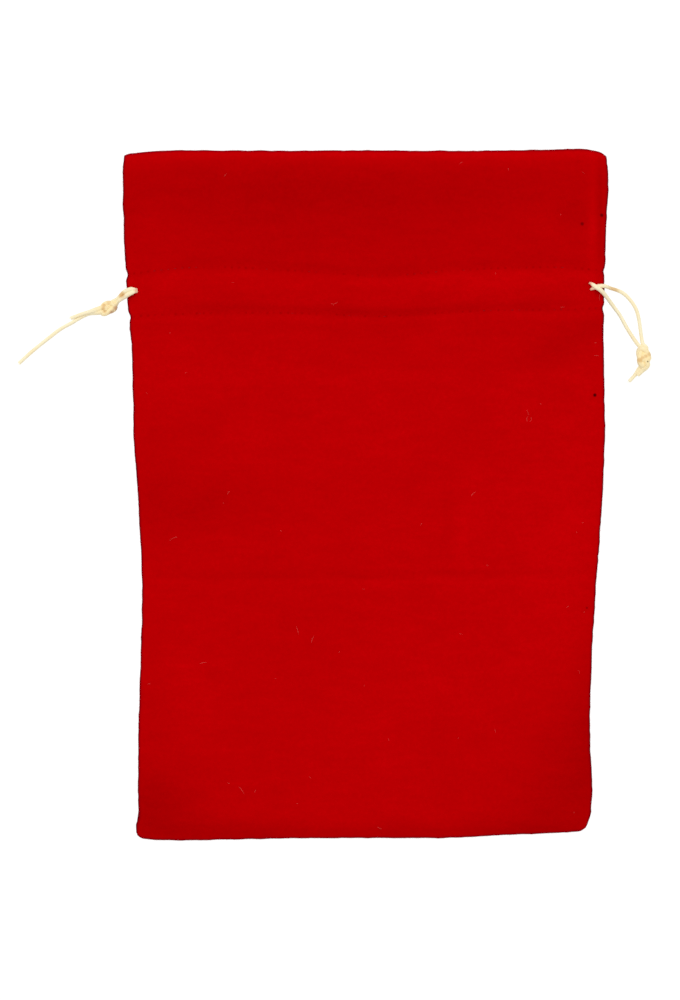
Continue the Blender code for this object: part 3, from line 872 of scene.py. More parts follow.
def pierce(panel):
    cutter = bmesh.new()
    for x, y, length in eyelets["holes"]:
        ring = bmesh.ops.create_cone(cutter, cap_ends=True, segments=24, radius1=0.5, radius2=0.5,
                                     depth=1.0)
        for vertex in ring["verts"]:
            vertex.co = Vector((vertex.co.x * eyelets["width"] + x, vertex.co.y * length + y,
                                vertex.co.z * eyelets["tall"] + eyelets["middle"]))
    mesh = bpy.data.meshes.new("eyeletCutter")
    cutter.to_mesh(mesh)
    cutter.free()
    tool = addObject("eyeletCutter", mesh)
    cut = panel.modifiers.new("eyelets", "BOOLEAN")
    cut.operation = "DIFFERENCE"
    cut.solver = "EXACT"
    cut.object = tool
    settle(panel)
    bpy.data.objects.remove(tool, do_unlink=True)


def settle(piece):
    # turns the modifiers' result into a plain mesh
    graph = bpy.context.evaluated_depsgraph_get()
    mesh = bpy.data.meshes.new_from_object(piece.evaluated_get(graph), preserve_all_data_layers=True,
                                           depsgraph=graph)
    piece.modifiers.clear()
    old = piece.data
    piece.data = mesh
    mesh.name = piece.name
    bpy.data.meshes.remove(old)


def makePanels():
    red = makeVelvet()
    front = makePanel("frontVelvet", True, red)
    pierce(front)
    back = makePanel("backVelvet", False, red)
    settle(back)
    length = pouch["height"] - 2 * foldRoom + 2 * math.pi * foldRadius
    length += pouch["lowerRow"] + pouch["facingMargin"] + pouch["bottomAllowance"] - foldRoom
    for piece, node in ((front, "front_panel"), (back, "back_panel")):
        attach(piece, "root")
        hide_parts(node)
    return front


# Drawstrings: pale cream cord, each tied to itself in one overhand knot

drawstring = {
    "diameter": 0.0015,
    "cream": (255, 243, 205),
    "deepCream": (255, 238, 193),
    "pointSpacing": 0.0006,
    "fibreSize": 0.00028,
    "fibreShare": 0.6,     # of the colour's change, beside the soft patches
    "patchSize": 0.0065,
    "bump": 0.14,
    "bumpDepth": 0.00004,
    "roughness": 0.55,
    "uneven": 0.05,        # how far the thickness goes up and down
    "smoothing": 4,
    # where each cord leaves the pouch, in millimetres
    "holes": {
        "left": [(-99.3, 88.5, 5.3), (-99.3, 89.3, 5.3)],
        "right": [(97.5, 92.2, 5.6), (98.0, 89.3, 5.6)],
    },
    # painted shade and painted light at places seen from above: x and y in millimetres, reach in
    # millimetres, strength, colour
    "paintedShadeAndLight": [
        (-112.4, 81.4, 7.5, 0.75, "warm"), (121.9, 59.4, 7.5, 0.75, "warm"),
        (108.3, 89.6, 3.4, 0.70, "tan"), (-105.9, 87.2, 2.2, 0.85, "tan"),
        (-113.7, 82.6, 1.3, 0.70, "tan"), (-114.0, 81.2, 1.2, 0.70, "tan"),
        (-113.2, 80.0, 1.2, 0.60, "tan"), (-111.6, 83.8, 1.4, 0.45, "tan"),
        (-108.4, 81.4, 1.7, 0.75, "brown"), (-110.2, 79.2, 1.7, 0.70, "brown"),
        (119.6, 58.7, 1.6, 0.75, "tan"), (120.9, 59.7, 1.1, 0.55, "tan"), (122.2, 60.4, 1.2, 0.55, "tan"),
        (123.9, 61.3, 1.4, 0.60, "tan"),
        (123.05, 58.1, 0.55, 0.85, "dark"), (-99.2, 88.9, 1.5, 0.45, "pink"),
        (97.4, 92.2, 1.8, 0.75, "pink"), (98.0, 89.4, 1.8, 0.75, "pink"),
    ],
    # painted shade: warm over the knots; tan, brown and dark in the knots' grooves, the gaps between
    # strands and along one stretch of cord; pink is painted red light from the velvet where the cords
    # enter the holes
    "warm": (255, 231, 172),
    "tan": (224, 176, 106),
    "brown": (204, 146, 100),
    "dark": (96, 84, 50),
    "pink": (250, 178, 146),
}

# the routes of the CAD cords, in millimetres
leftRoute = [
    (-107.3, 84.6, 2.9), (-104.8, 86.1, 4.8), (-102.4, 87.5, 6.2), (-101.1, 88.0, 6.7),
    (-100.1, 88.5, 6.6), (-99.3, 88.5, 5.3), (-98.0, 88.2, 4.3), (-95.0, 88.6, 4.7),
    (-91.2, 89.5, 5.95), (-86.0, 90.0, 7.2), (-80.0, 90.4, 8.1), (-65.0, 90.2, 9.35),
    (-45.0, 89.9, 9.8), (-20.0, 89.5, 9.85), (6.0, 88.1, 9.85), (34.0, 89.95, 9.85),
    (58.0, 91.05, 9.6), (75.0, 91.35, 8.65), (85.0, 91.4, 7.35), (90.0, 91.6, 6.4),
    (91.8, 91.8, 5.95), (93.2, 92.3, 4.6), (93.2, 93.1, 3.3), (91.8, 93.8, 2.15),
    (89.8, 94.1, 1.75), (85.0, 94.1, 1.75), (75.0, 94.05, 1.75), (58.0, 93.75, 1.75),
    (34.0, 92.65, 1.75), (6.0, 90.8, 1.75), (-20.0, 92.2, 1.75), (-45.0, 92.6, 1.75),
    (-65.0, 92.9, 1.75), (-80.0, 93.1, 1.75), (-90.0, 92.5, 1.75), (-94.5, 91.3, 1.85),
    (-97.6, 90.1, 2.6), (-98.8, 89.7, 3.9), (-99.3, 89.3, 5.3), (-100.1, 89.3, 6.7),
    (-101.3, 89.5, 6.7), (-102.8, 89.2, 5.9), (-105.1, 88.1, 4.4), (-107.2, 86.0, 3.0),
]
rightRoute = [
    (119.6, 64.8, 1.9), (117.6, 67.6, 0.9), (114.4, 72.6, 0.76), (111.3, 78.3, 0.76),
    (109.0, 81.4, 1.0), (106.6, 84.5, 2.6), (104.4, 87.1, 4.8), (102.4, 89.0, 6.9),
    (100.2, 90.3, 8.2), (98.3, 91.9, 7.1), (97.5, 92.2, 5.6), (96.6, 91.2, 4.65),
    (94.6, 89.6, 5.1), (91.5, 88.1, 6.05), (90.0, 87.9, 6.4), (85.0, 87.6, 7.35),
    (75.0, 87.55, 8.65), (58.0, 87.25, 9.6), (34.0, 86.15, 9.85), (6.0, 84.3, 9.85),
    (-20.0, 85.7, 9.85), (-45.0, 86.1, 9.8), (-65.0, 86.4, 9.35), (-80.0, 86.6, 8.1),
    (-86.0, 86.2, 7.2), (-89.4, 85.9, 6.4), (-91.2, 85.6, 5.95), (-92.6, 85.0, 4.6),
    (-92.6, 84.3, 3.3), (-91.2, 83.6, 2.15), (-89.2, 83.4, 1.75), (-80.0, 83.9, 1.75),
    (-65.0, 83.7, 1.75), (-45.0, 83.4, 1.75), (-20.0, 83.0, 1.75), (6.0, 81.6, 1.75),
    (34.0, 83.45, 1.75), (58.0, 84.55, 1.75), (75.0, 84.85, 1.75), (85.0, 84.9, 1.75),
    (90.0, 85.3, 1.75), (94.5, 87.0, 1.85), (96.8, 88.8, 2.6), (97.6, 89.7, 4.0),
    (98.0, 89.3, 5.6), (98.6, 89.6, 6.9), (100.4, 90.5, 6.7), (102.5, 90.9, 5.9),
    (104.6, 90.9, 4.7), (106.8, 90.1, 3.0), (109.6, 89.4, 1.5), (112.6, 88.1, 0.85),
    (115.6, 85.2, 0.76), (118.2, 81.3, 0.76), (119.4, 77.2, 0.76), (120.1, 72.6, 0.76),
    (120.7, 68.2, 0.9), (121.4, 65.1, 1.9),
]
tails = {
    "leftShort": [(-119.8, 79.9, 2.0), (-123.0, 79.0, 1.9), (-126.0, 77.9, 1.5), (-128.2, 77.1, 1.2)],
    "leftLong": [(-119.8, 79.2, 0.8), (-123.0, 77.9, 0.76), (-125.6, 76.5, 0.76), (-127.8, 75.1, 0.76),
                 (-132.6, 72.5, 0.76), (-137.6, 68.7, 0.76), (-145.2, 62.6, 0.76),
                 (-150.9, 57.4, 0.76)],
    "rightLong": [(119.9, 55.2, 0.9), (118.2, 52.8, 0.76), (115.3, 49.6, 0.76)],
    "rightShort": [(121.0, 54.7, 1.7), (120.0, 53.4, 1.6), (118.8, 52.2, 1.4)],
}

knots = {
    "left": {"middle": (-112.2, 81.5), "turn": 27, "flip": -1, "roll": 180, "size": 0.72,
             "cone": (-116.3, 80.1), "pressed": 0.26},
    "right": {"middle": (121.5, 60.3), "turn": 94, "flip": 1, "roll": 180, "size": 0.80,
              "cone": (120.6, 55.4), "pressed": 0.18},
    "press": 0.50,       # how much wider the strands are pressed inside
    "spread": 2.22,      # how far the loose knot's curve runs
    "looseness": 1.35,   # its first size, in diameters
    "step": 0.02,        # how far the ends move in each step, in diameters
    "centring": 0.02,    # share of the way that each step brings the ends back into line
    "most": 1500,
    "rounds": 5,         # of the three rules below, after each step
    "linkPull": 0.45,    # share of a link's stretch taken back
    "pushApart": 0.35,   # share of an overlap cleared
    "straighten": 0.06,
    "apart": 0.52,       # from the middle to each strand, in diameters
    "inner": 0.0048,     # half length of the knot itself
    "kept": 0.0056,      # half length kept of each strand
    "tight": 1.045,      # stretch at which a strand counts as drawn up
}


def looseKnot():
    # two strands side by side along an open overhand curve
    t = np.linspace(-knots["spread"], knots["spread"], 600)
    line = np.stack([t ** 3 - 3 * t, t ** 4 - 4 * t ** 2, 0.16 * (t ** 5 - 10 * t)], axis=1)
    line *= knots["looseness"] * drawstring["diameter"]
    along = np.gradient(line, axis=0)
    beside = np.stack([-along[:, 1], along[:, 0], 0 * along[:, 0]], axis=1)
    beside /= np.linalg.norm(beside, axis=1)[:, None]
    apart = knots["apart"] * drawstring["diameter"] * beside
    return [evenRoute(line - apart, drawstring["diameter"] / 2),
            evenRoute(line + apart, drawstring["diameter"] / 2)]


def drawUp(strands):
    # pulls the ends apart until both strands are tight, each keeping its length and room
    thick = drawstring["diameter"]
    spacing = thick / 2
    points = np.concatenate(strands)
    strand = np.repeat([0, 1], [len(s) for s in strands])
    index = np.concatenate([np.arange(len(s)) for s in strands])
    link = np.nonzero(strand[1:] == strand[:-1])[0]
    neighbours = (strand[:, None] == strand[None, :]) & (abs(index[:, None] - index[None, :]) < 4)
    starts, stops = [0, len(strands[0])], [len(strands[0]) - 1, len(points) - 1]
    ends = starts + stops
    middle = np.setdiff1d(np.arange(len(points)), ends)
    slack = [True, True]
    for step in range(knots["most"]):
        for k in range(2):
            if not slack[k]:
                continue
            offset = (0.5 - k) * thick
            for end, way in ((starts[k], -1), (stops[k], 1)):
                points[end, 0] += way * knots["step"] * thick
                points[end, 1] += knots["centring"] * (offset - points[end, 1])
                points[end, 2] *= 1 - knots["centring"]
        held = points[ends].copy()
        for turn in range(knots["rounds"]):
            gap = points[link + 1] - points[link]
            length = np.linalg.norm(gap, axis=1)
            fix = (knots["linkPull"] * (length - spacing) / length)[:, None] * gap
            np.add.at(points, link, fix)
            np.add.at(points, link + 1, -fix)
            away = points[:, None, :] - points[None, :, :]
            far = np.sqrt((away ** 2).sum(axis=2)) + 1e-9
            push = np.clip(thick - far, 0, None)
            push[neighbours] = 0
            points += knots["pushApart"] * ((push / far)[:, :, None] * away).sum(axis=1)
            bend = points[middle - 1] + points[middle + 1] - 2 * points[middle]
            points[middle] += knots["straighten"] * bend
            points[ends] = held
        lengths = np.linalg.norm(points[link + 1] - points[link], axis=1)
        slack = [lengths[strand[link] == k].mean() < knots["tight"] * spacing for k in range(2)]
        if not any(slack):
            break
    print("knot drawn up in", step, "steps")
    return points[:len(strands[0])], points[len(strands[0]):]


def placeKnot(strands, side):
    # the knot's two strands, from the pouch's side to the tails, where the knot lies
    knot = knots[side]
    turn = math.radians(knot["turn"])
    c, s = math.cos(turn), math.sin(turn)
    rollC, rollS = math.cos(math.radians(knot["roll"])), math.sin(math.radians(knot["roll"]))
    middle = np.array(knot["middle"]) * 0.001
    placed = []
    for strand in strands:
        x, y, z = strand[::-1].T * knot["size"]
        y = y * knot["flip"]
        y, z = y * rollC - z * rollS, y * rollS + z * rollC
        placed.append(np.stack([x * c - y * s, x * s + y * c, z], axis=1))
    along = [abs(strand[::-1][:, 0]) for strand in strands]
    inside = np.concatenate([p[far < knots["inner"]] for p, far in zip(placed, along)])
    for p in placed:
        soften(p)
    centre = (inside.min(axis=0) + inside.max(axis=0)) / 2
    rest = drawstring["diameter"] / 2 - inside[:, 2].min()
    shift = np.array([middle[0] - centre[0], middle[1] - centre[1], rest])
    return [p[far < knots["kept"]] + shift for p, far in zip(placed, along)]


def makeCordMaterial():
    graph = Graph("creamCord")
    fibre = graph.noise(graph.where, drawstring["fibreSize"])
    patches = graph.noise(graph.where, drawstring["patchSize"], 1.0)
    grain = graph.math("SUBTRACT", fibre, 0.5)
    cloud = graph.math("MULTIPLY_ADD", grain, drawstring["fibreShare"], patches)
    colour = graph.ramp(cloud, (0.3, drawstring["deepCream"]), (0.62, drawstring["cream"]))
    flat = graph.scaled((1.0, 1.0, 0.0))
    # painted shade and painted red light at the listed places
    for x, y, reach, strength, name in drawstring["paintedShadeAndLight"]:
        share = graph.near(flat, (x * 0.001, y * 0.001, 0.0), reach * 0.001)
        colour = graph.blend(graph.math("MULTIPLY", share, strength), colour, drawstring[name])
    graph.feed("Base Color", colour)
    graph.feed("Normal", graph.bump(fibre, drawstring["bump"], drawstring["bumpDepth"]))
    graph.feed("Roughness", drawstring["roughness"])
    graph.feed("Specular IOR Level", 0.3)
    graph.feed("Sheen Weight", 0.1)
    return graph.material


def makeCord(name, route, material, swell):
    curve = newCurve(name, drawstring["diameter"] / 2, 4)
    curve.use_fill_caps = True
    wobble = [noise.noise(Vector((count * 0.13, len(route) * 0.1, 0))) for count in range(len(route))]
    radii = [swell(point) * (1.0 + drawstring["uneven"] * value) for point, value in zip(route, wobble)]
    # the slot keeps the radius in single precision, and the height follows it
    spots = [(x, y, max(z, float(np.float32(radius)) * curve.bevel_depth))
             for (x, y, z), radius in zip(route, radii)]
    addLine(curve, spots, radii).use_smooth = True
    piece = addObject(name, curve)
    curve.materials.append(material)
    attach(piece, "root")
    return piece


# Strand width in shares of the cord's radius; each pair is a reach and a run in metres
swelling = {
    "plain": 1.08,
    "knot": (0.0052, 0.0012),
    "cone": (0.0044, 0.0034),     # the strands where they leave the knot for their ends
    "entry": (0.009, 0.004),      # beside the holes, where both strands are pressed together
    "throat": (0.0018, 0.0015),   # in the holes themselves
    "narrowed": 0.56,
}


def swellPart(key, far):
    # 0 beyond the reach, then up to 1 over the run
    reach, run = swelling[key]
    return np.clip((reach - far) / run, 0, 1)


def knotSwell(side):
    # the strands are pressed wide inside the knot and where they enter the cloth
    knot = knots[side]
    middle, cone = np.array(knot["middle"]) * 0.001, np.array(knot["cone"]) * 0.001
    holes = [np.array(hole[:2]) for hole in eyelets["holes"]]

    def swell(point):
        here = np.array(point[:2])
        close = min(np.linalg.norm(here - hole) for hole in holes)
        wide = knots["press"] * max(swellPart("knot", np.linalg.norm(here - middle)),
                                    swellPart("cone", np.linalg.norm(here - cone)))
        wide += knot["pressed"] * swellPart("entry", close)
        return swelling["plain"] + wide - swelling["narrowed"] * swellPart("throat", close)
    return swell


def nearer(firstEnd, lastEnd, options, at):
    # which of two strands goes with which end, by distance
    straight = np.linalg.norm(options[0][at] - firstEnd) + np.linalg.norm(options[1][at] - lastEnd)
    crossed = np.linalg.norm(options[1][at] - firstEnd) + np.linalg.norm(options[0][at] - lastEnd)
    return (0, 1) if straight <= crossed else (1, 0)


def drawstringLine(side, route, strands):
    # from the short tail's end through the knot, the casing and the knot again to the long tail
    path, longTail, shortTail = (np.array(points) * 0.001
                                 for points in (route, tails[side + "Long"], tails[side + "Short"]))
    knotted = placeKnot(strands, side)
    first, last = nearer(path[0], path[-1], knotted, 0)
    leaveFirst, leaveLast = knotted[first][::2], knotted[last][::2]
    longer, shorter = nearer(longTail[0], shortTail[0], [leaveFirst, leaveLast], -1)
    firstTail, lastTail = (longTail, shortTail) if longer == 0 else (shortTail, longTail)
    line = np.concatenate([firstTail[::-1], leaveFirst[::-1], path, leaveLast, lastTail])
    if longer == 0:
        line = line[::-1]
    line = evenRoute(smoothRoute(line, 0.0004), drawstring["pointSpacing"])
    for turn in range(drawstring["smoothing"]):
        soften(line)
    line[:, 2] = np.maximum(line[:, 2], drawstring["diameter"] / 2)
    return line


def makeDrawstrings():
    cream = makeCordMaterial()
    strands = drawUp(looseKnot())
    for side, route in (("left", leftRoute), ("right", rightRoute)):
        line = drawstringLine(side, route, strands)
        holes = np.array(drawstring["holes"][side]) * 0.001
        far = np.linalg.norm(line[:, None, :] - holes[None, :, :], axis=2).min(axis=1)
        half = len(line) // 2
        first, last = int(np.argmin(far[:half])), half + int(np.argmin(far[half:]))
        # one cord, cut at its two holes: short and long strand, and the run in the casing
        parts = (
            ("ShortStrand", line[first::-1], "bare", ["_short_tail"]),
            ("LongStrand", line[last:], "bare", ["_long_tail", "_knot"]),
            ("CasingRun", line[first:last + 1], "object", ["_drawstring"]),
        )
        for name, path, end, nodes in parts:
            piece = makeCord(side + name, path, cream, knotSwell(side))
            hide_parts(*[side + node for node in nodes])


# Fringe: single hairs of pile that stand out at the folds

fringe = {
    "spacing": 0.0002,
    "length": 0.00045,
    "thickness": 0.00005,
    "lean": 0.75,
    "root": 0.0001,      # how deep in the cloth each hair starts
    "sizes": (0.35, 1.25),
    # paler and pinker than the velvet: painted light on the hairs
    "tones": ((232, 66, 70), (250, 130, 130)),
    "seed": 21,
}


def socketOf(group, name):
    return next(item.identifier for item in group.interface.items_tree if item.name == name)


def lineGroup(name, shapes, numbers, sizes, axis):
    # a node group that sets one small shape after another along a line; the first
    # number is the distance between them
    group = bpy.data.node_groups.new(name, "GeometryNodeTree")
    sockets = [("Line", "INPUT", "Geometry"), (shapes, "OUTPUT", "Geometry")]
    sockets += [(number, "INPUT", "Float") for number in numbers]
    sockets += [("Seed", "INPUT", "Int"), ("Material", "INPUT", "Material")]
    for label, way, kind in sockets:
        group.interface.new_socket(name=label, in_out=way, socket_type="NodeSocket" + kind)
    given = addNode(group, "NodeGroupInput")
    result = addNode(group, "NodeGroupOutput")
    curve = addNode(group, "GeometryNodeMeshToCurve")
    even = addNode(group, "GeometryNodeResampleCurve", mode="LENGTH")
    aim = addNode(group, "FunctionNodeAlignEulerToVector", axis=axis)
    size = addNode(group, "FunctionNodeRandomValue", data_type="FLOAT")
    size.inputs[2].default_value, size.inputs[3].default_value = sizes
    place = addNode(group, "GeometryNodeInstanceOnPoints")
    plain = addNode(group, "GeometryNodeRealizeInstances")
    dye = addNode(group, "GeometryNodeSetMaterial")
    joinAll(group, [
        (given, "Line", curve, "Mesh"), (curve, "Curve", even, "Curve"),
        (given, numbers[0], even, "Length"), (even, "Curve", place, "Points"),
        (aim, "Rotation", place, "Rotation"),
        (given, "Seed", size, "Seed"), (size, 1, place, "Scale"),
        (place, "Instances", plain, "Geometry"), (plain, "Geometry", dye, "Geometry"),
        (given, "Material", dye, "Material"), (dye, "Geometry", result, shapes),
    ])
    return group, given, aim, place


def fringeGroup():
    numbers = ("Spacing", "Length", "Thickness", "Lean")
    group, given, aim, place = lineGroup("pileFringe", "Hairs", numbers, fringe["sizes"], "Z")
    outward = addNode(group, "GeometryNodeInputNamedAttribute", data_type="FLOAT_VECTOR")
    outward.inputs["Name"].default_value = "outward"
    stray = addNode(group, "FunctionNodeRandomValue", data_type="FLOAT_VECTOR")
    stray.inputs[0].default_value = (-1.0, -1.0, -1.0)
    stray.inputs[1].default_value = (1.0, 1.0, 1.0)
    leaning = addNode(group, "ShaderNodeVectorMath", operation="SCALE")
    total = addNode(group, "ShaderNodeVectorMath")
    hair = addNode(group, "GeometryNodeMeshCone", fill_type="NONE")
    hair.inputs["Vertices"].default_value = 3
    joinAll(group, [
        (given, "Seed", stray, "Seed"), (stray, 0, leaning, 0), (given, "Lean", leaning, "Scale"),
        (outward, 0, total, 0), (leaning, 0, total, 1), (total, 0, aim, "Vector"),
        (given, "Length", hair, "Depth"), (given, "Thickness", hair, "Radius Bottom"),
        (hair, "Mesh", place, "Instance"),
    ])
    return group


def dressLines(piece, group, settings):
    # sets the group's small shapes along the piece's lines
    shapes = piece.modifiers.new("shapes", "NODES")
    shapes.node_group = group
    for label, value in settings.items():
        shapes[socketOf(group, label)] = value
    settle(piece)
    print(piece.name, len(piece.data.polygons), "faces")


def outlineRoutes(front):
    # the crest of each fold, with the way out from it
    columns, rows = panelColumns(), panelRows(front)
    places, fromEdge = shapePanel(front, columns, rows)
    half = math.pi / 2 * foldRadius
    outer = [k for k, row in enumerate(rows) if row[0] == 1 and besideClips(row[1])]
    side = int(np.argmin(abs(columns[:, 1] - half) + (columns[:, 0] < 0)))
    other = int(np.argmin(abs(columns[:, 1] - half) + (columns[:, 0] > 0)))
    flat = np.nonzero(columns[:, 1] == 0)[0]
    tops = [k for k, row in enumerate(rows) if row[0] == 3]
    ends = [k for k, row in enumerate(rows) if row[0] == 2]
    top = min(tops, key=lambda k: abs(rows[k][2] - foldRadius))
    end = min(ends, key=lambda k: abs(rows[k][2] - foldRadius))
    edge = pouch["cloth"] / 2 - fringe["root"]
    routes = []
    for points, way in ((places[outer, side], (1, 0, 0)), (places[outer, other], (-1, 0, 0)),
                        (places[top, flat], (0, 1, 0)), (places[end, flat], (0, -1, 0))):
        routes.append((points + edge * np.array(way), way))
    return routes


def makeFringe():
    # the hairs' pale pink stands in for light: painted light
    first, last = fringe["tones"]
    graph, patches = fibreMaterial("fringeRed", 0.0012, (0.3, first), (0.7, last), 0.8, 0.05)
    group = fringeGroup()
    keys = ("spacing", "length", "thickness", "lean", "seed")
    settings = {key.capitalize(): fringe[key] for key in keys}
    settings["Material"] = graph.material
    for front, name in ((True, "frontFringe"), (False, "backFringe")):
        routes = outlineRoutes(front)
        piece = lineObject(name, [points for points, way in routes])
        ways = piece.data.attributes.new("outward", "FLOAT_VECTOR", "POINT")
        ways.data.foreach_set("vector", [v for points, way in routes for v in way * len(points)])
        dressLines(piece, group, settings)
        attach(piece, "root")


# Stitching: dark red thread, one short stitch for each needle hole, sunk in the pile

stitching = {
    "pitch": velvet["stitchPitch"],
    "length": 0.0023,
    "thread": 0.00032,
    "sink": 0.00012,
    "seamInset": 0.0035,
    "seamCorner": 0.018,
    "rowReach": 0.972,    # share of the half width
    "sizes": (0.88, 1.08),
    "red": (144, 0, 8),
    "seed": 5,
}


def stitchGroup():
    numbers = ("Pitch", "Stitch Length", "Thread")
    group, given, aim, place = lineGroup("stitchLine", "Stitches", numbers, stitching["sizes"], "X")
    tangent = addNode(group, "GeometryNodeInputTangent")
    bow = addNode(group, "GeometryNodeCurveQuadraticBezier")
    bow.inputs["Resolution"].default_value = 6
    ring = addNode(group, "GeometryNodeCurvePrimitiveCircle")
    ring.inputs["Resolution"].default_value = 6
    tube = addNode(group, "GeometryNodeCurveToMesh")
    tube.inputs["Fill Caps"].default_value = True
    start, top, stop = (addNode(group, "ShaderNodeCombineXYZ") for corner in range(3))
    joins = [
        (tangent, "Tangent", aim, "Vector"), (given, "Thread", top, "Z"),
        (start, 0, bow, "Start"), (top, 0, bow, "Middle"), (stop, 0, bow, "End"),
        (bow, "Curve", tube, "Curve"), (ring, "Curve", tube, "Profile Curve"),
        (tube, "Mesh", place, "Instance"),
    ]
    # half a stitch to each side, its ends sunk in the cloth, and half a thread as the radius
    for number, share, ends in (
        ("Stitch Length", -0.5, [(start, "X")]), ("Stitch Length", 0.5, [(stop, "X")]),
        ("Thread", -1.3, [(start, "Z"), (stop, "Z")]), ("Thread", 0.5, [(ring, "Radius")]),
    ):
        part = addNode(group, "ShaderNodeMath", operation="MULTIPLY")
        part.inputs[1].default_value = share
        joins += [(given, number, part, 0)] + [(part, 0, node, entry) for node, entry in ends]
    joinAll(group, joins)
    return group


def makeThreadMaterial():
    dark, light = (tuple(share * value for value in stitching["red"]) for share in (0.8, 1.15))
    graph, twist = fibreMaterial("redThread", 0.0004, (0.2, dark), (0.8, light), 0.6, 0.15)
    graph.feed("Normal", graph.bump(twist, 0.3, 0.00004))
    return graph.material


def rowRoute(front, row):
    # along the surface in the row's groove
    spots = np.linspace(-stitching["rowReach"], stitching["rowReach"], 260)
    depth = np.full(len(spots), pouch[row])
    middle, half = across(depth)
    x = middle + spots * half
    y = pouch["height"] / 2 - depth + wander(spots, depth)
    z = outerHeight(front, x, depth)
    stand = pouch["cloth"] / 2 - stitching["sink"]
    return np.stack([x, y, z + (stand if front else -stand)], axis=1)


def seamRoute():
    # through the turnings: down one side, along the bottom and up the other
    corner = stitching["seamCorner"]
    last = pouch["height"] - stitching["seamInset"]
    down = np.linspace(pouch["topClip"] + 0.002, pouch["height"] - 2 * corner, 90)
    middle, half = across(down)
    inset = half - stitching["seamInset"]
    left = list(zip(middle - inset, down))
    right = list(zip(middle + inset, down))
    lowLeft, lowRight = left[-1][0], right[-1][0]
    bottom = [(lowLeft + 0.3 * corner, last - 0.33 * corner)]
    bottom += [(x, last) for x in np.linspace(lowLeft + corner, lowRight - corner, 30)]
    bottom += [(lowRight - 0.3 * corner, last - 0.33 * corner)]
    x, depth = np.array(left + bottom + right[::-1]).T
    middle, half = across(depth)
    y = pouch["height"] / 2 - depth + wander((x - middle) / half, depth)
    z = (outerHeight(True, x, depth) + outerHeight(False, x, depth)) / 2
    return np.stack([x, y, z], axis=1)


def makeStitching():
    group = stitchGroup()
    settings = {"Pitch": stitching["pitch"], "Stitch Length": stitching["length"],
                "Thread": stitching["thread"], "Seed": stitching["seed"], "Material": makeThreadMaterial()}
    upper, lower = ([rowRoute(front, row) for front in (True, False)] for row in ("upperRow", "lowerRow"))
    for name, node, routes in (
        ("upperCasingStitches", "upper_casing_stitching", upper),
        ("lowerCasingStitches", "lower_casing_stitching", lower),
        ("seamStitches", "seam_stitching", [seamRoute()]),
    ):
        piece = lineObject(name, routes)
        dressLines(piece, group, settings)
        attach(piece, "root")
        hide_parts(node)


# Lint: pale fibres caught in the pile

lint = {
    "pale": (246, 124, 116),
    "deep": (226, 84, 78),
    "radius": 0.000034,
    "stand": 0.00012,    # how far over the cloth they lie
    # photograph column and row, length in pixels, turn in degrees, bend
    "fibres": [
        (225.7, 176, 4, 45, 0.1), (233.3, 283, 1.6, 0, 0.1), (332.5, 305, 4, -50, 0.3),
        (336, 304, 4, 25, 0.2), (186, 373, 2.5, 30, 0.1), (228.7, 493, 4, 60, 0.2),
        (146.7, 393, 2, -40, 0.1), (170, 333, 1.6, 20, 0.1), (461, 164, 4, 30, 0.2),
        (508, 170, 3, 80, 0.1), (583, 173, 3, -40, 0.1), (560.3, 215, 2, 90, 0.1),
        (495.3, 274, 2, 90, 0.1), (562, 307.7, 4, 10, 0.2), (595.7, 342.7, 2, 0, 0.1),
        (596.5, 355.7, 5, 0, 0.1), (527.3, 412.5, 5, -70, 0.1), (527.6, 419, 5, 80, 0.5),
        (529.8, 419.4, 5, 80, -0.5), (540.3, 404.3, 2, -45, 0.1), (473.3, 494.3, 6.5, 45, 0.3),
        (600.4, 296.5, 8, 80, 0.2), (173.3, 539, 9, 28, 0.2), (281, 530.7, 2.5, -50, 0.1),
        (223.7, 503, 1.6, 0, 0.1), (363.7, 589, 2, 0, 0.1), (297.3, 630, 9, -75, 0.1),
        (312.7, 639, 7, 70, 0.1), (203.3, 662.7, 7, 10, 0.1), (149, 684, 3, 20, 0.1),
        (275.7, 678.3, 1.6, 0, 0.1), (364.3, 685, 1.6, 60, 0.1), (228.7, 783, 3, -20, 0.1),
        (241.3, 790, 9, -55, 0.15), (255.3, 790.7, 3, 70, 0.1), (310, 777, 2.5, -45, 0.1),
        (297.3, 803.3, 2, 0, 0.1), (339.3, 651.7, 2, 40, 0.1), (421.3, 524, 3, 60, 0.1),
        (583, 522.7, 2.5, 0, 0.1), (576.3, 532.3, 2, 30, 0.1), (487, 565.3, 2.5, -20, 0.1),
        (460.7, 633.7, 3.5, -15, 0.1), (584.3, 612, 2, 90, 0.1), (567.7, 606.7, 2.5, 30, 0.1),
        (579, 671.7, 4, -75, 0.1), (494.7, 730, 4, -65, 0.1), (458, 737.7, 2, 20, 0.1),
        (388.3, 739, 1.6, -60, 0.1), (379.3, 828.3, 5, -30, 0.1), (574.3, 812.7, 1.6, 90, 0.1),
    ],
}


def onCloth(front, x, y):
    # height of the front panel's surface here
    hit, place, normal, face = front.ray_cast(Vector((x, y, 0.03)), Vector((0, 0, -1)))
    return place.z if hit else 0.01


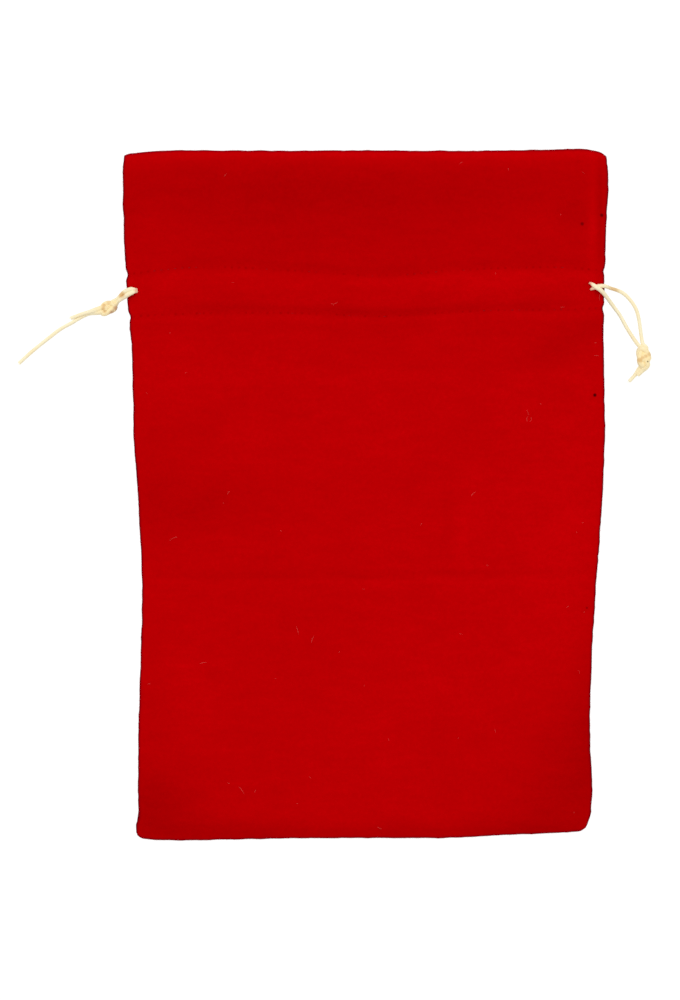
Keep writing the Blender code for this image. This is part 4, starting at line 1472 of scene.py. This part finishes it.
def makeLint(front):
    graph, patches = fibreMaterial("paleLint", 0.0015, (0.3, lint["deep"]), (0.7, lint["pale"]), 0.8, 0.1)
    curve = newCurve("lint", lint["radius"], 1)
    curve.use_fill_caps = True
    steps = [count / 3 - 1 for count in range(7)]
    for column, row, length, turn, bend in lint["fibres"]:
        middle = Vector((*fromPhoto(column, row), 0))
        angle = math.radians(turn)
        ahead = Vector((math.cos(angle), math.sin(angle), 0)) * length * pixel / 2
        aside = Vector((-ahead.y, ahead.x, 0)) * bend
        spots = [middle + ahead * t + aside * (1 - t * t) for t in steps]
        spots = [(x, y, onCloth(front, x, y) + lint["radius"] + lint["stand"]) for x, y, z in spots]
        addLine(curve, spots, [1.0 - 0.5 * abs(t) for t in steps])
    fibres = curveToMesh(curve, "lintFibres", graph.material)
    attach(fibres, "root")


# Fraying: loose cord fibres at the cut ends and on the right knot

fray = {
    "length": 0.0012,
    "radius": 0.00003,
    "scatter": 0.00045,
    "seed": 9,
    # photograph column and row, height in metres, way out in degrees, spread in degrees, fibres
    "places": [
        (70.6, 317.4, 0.0012, 195, 70, 9), (18.8, 362.0, 0.0008, 222, 70, 9),
        (630.0, 380.6, 0.0008, 226, 70, 10), (638.2, 373.8, 0.0014, 226, 80, 10),
        (649.0, 364.5, 0.0016, -25, 110, 26), (651.0, 358.0, 0.0016, 0, 80, 8),
    ],
}


def makeFraying():
    tones = (0.3, drawstring["deepCream"]), (0.7, drawstring["cream"])
    graph, patches = fibreMaterial("creamFibres", 0.0012, *tones, 0.7, 0.5)
    pick = random.Random(fray["seed"])
    curve = newCurve("fraying", fray["radius"], 1)
    for column, row, height, way, spread, count in fray["places"]:
        start = Vector((*fromPhoto(column, row), height))
        for fibre in range(count):
            angle = math.radians(way + spread * pick.uniform(-0.5, 0.5))
            bend = math.radians(pick.uniform(-50, 50))
            step = fray["length"] * pick.uniform(0.5, 1.1) / 5
            rise = step * pick.uniform(-0.4, 0.5)
            spot = start + Vector([pick.uniform(-1, 1) * fray["scatter"] for axis in range(3)])
            spots = []
            for joint in range(6):
                spots.append((spot.x, spot.y, max(spot.z, fray["radius"])))
                spot += Vector((math.cos(angle) * step, math.sin(angle) * step, rise))
                angle += bend / 5
            addLine(curve, spots, [1.0 - 0.1 * joint for joint in range(6)])
    fibres = curveToMesh(curve, "cordFibres", graph.material)
    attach(fibres, "root")


addCamera()
addStudio()
makeDrawstrings()
makeFraying()
frontPanel = makePanels()
makeFringe()
makeStitching()
makeLint(frontPanel)

print("pieces done")
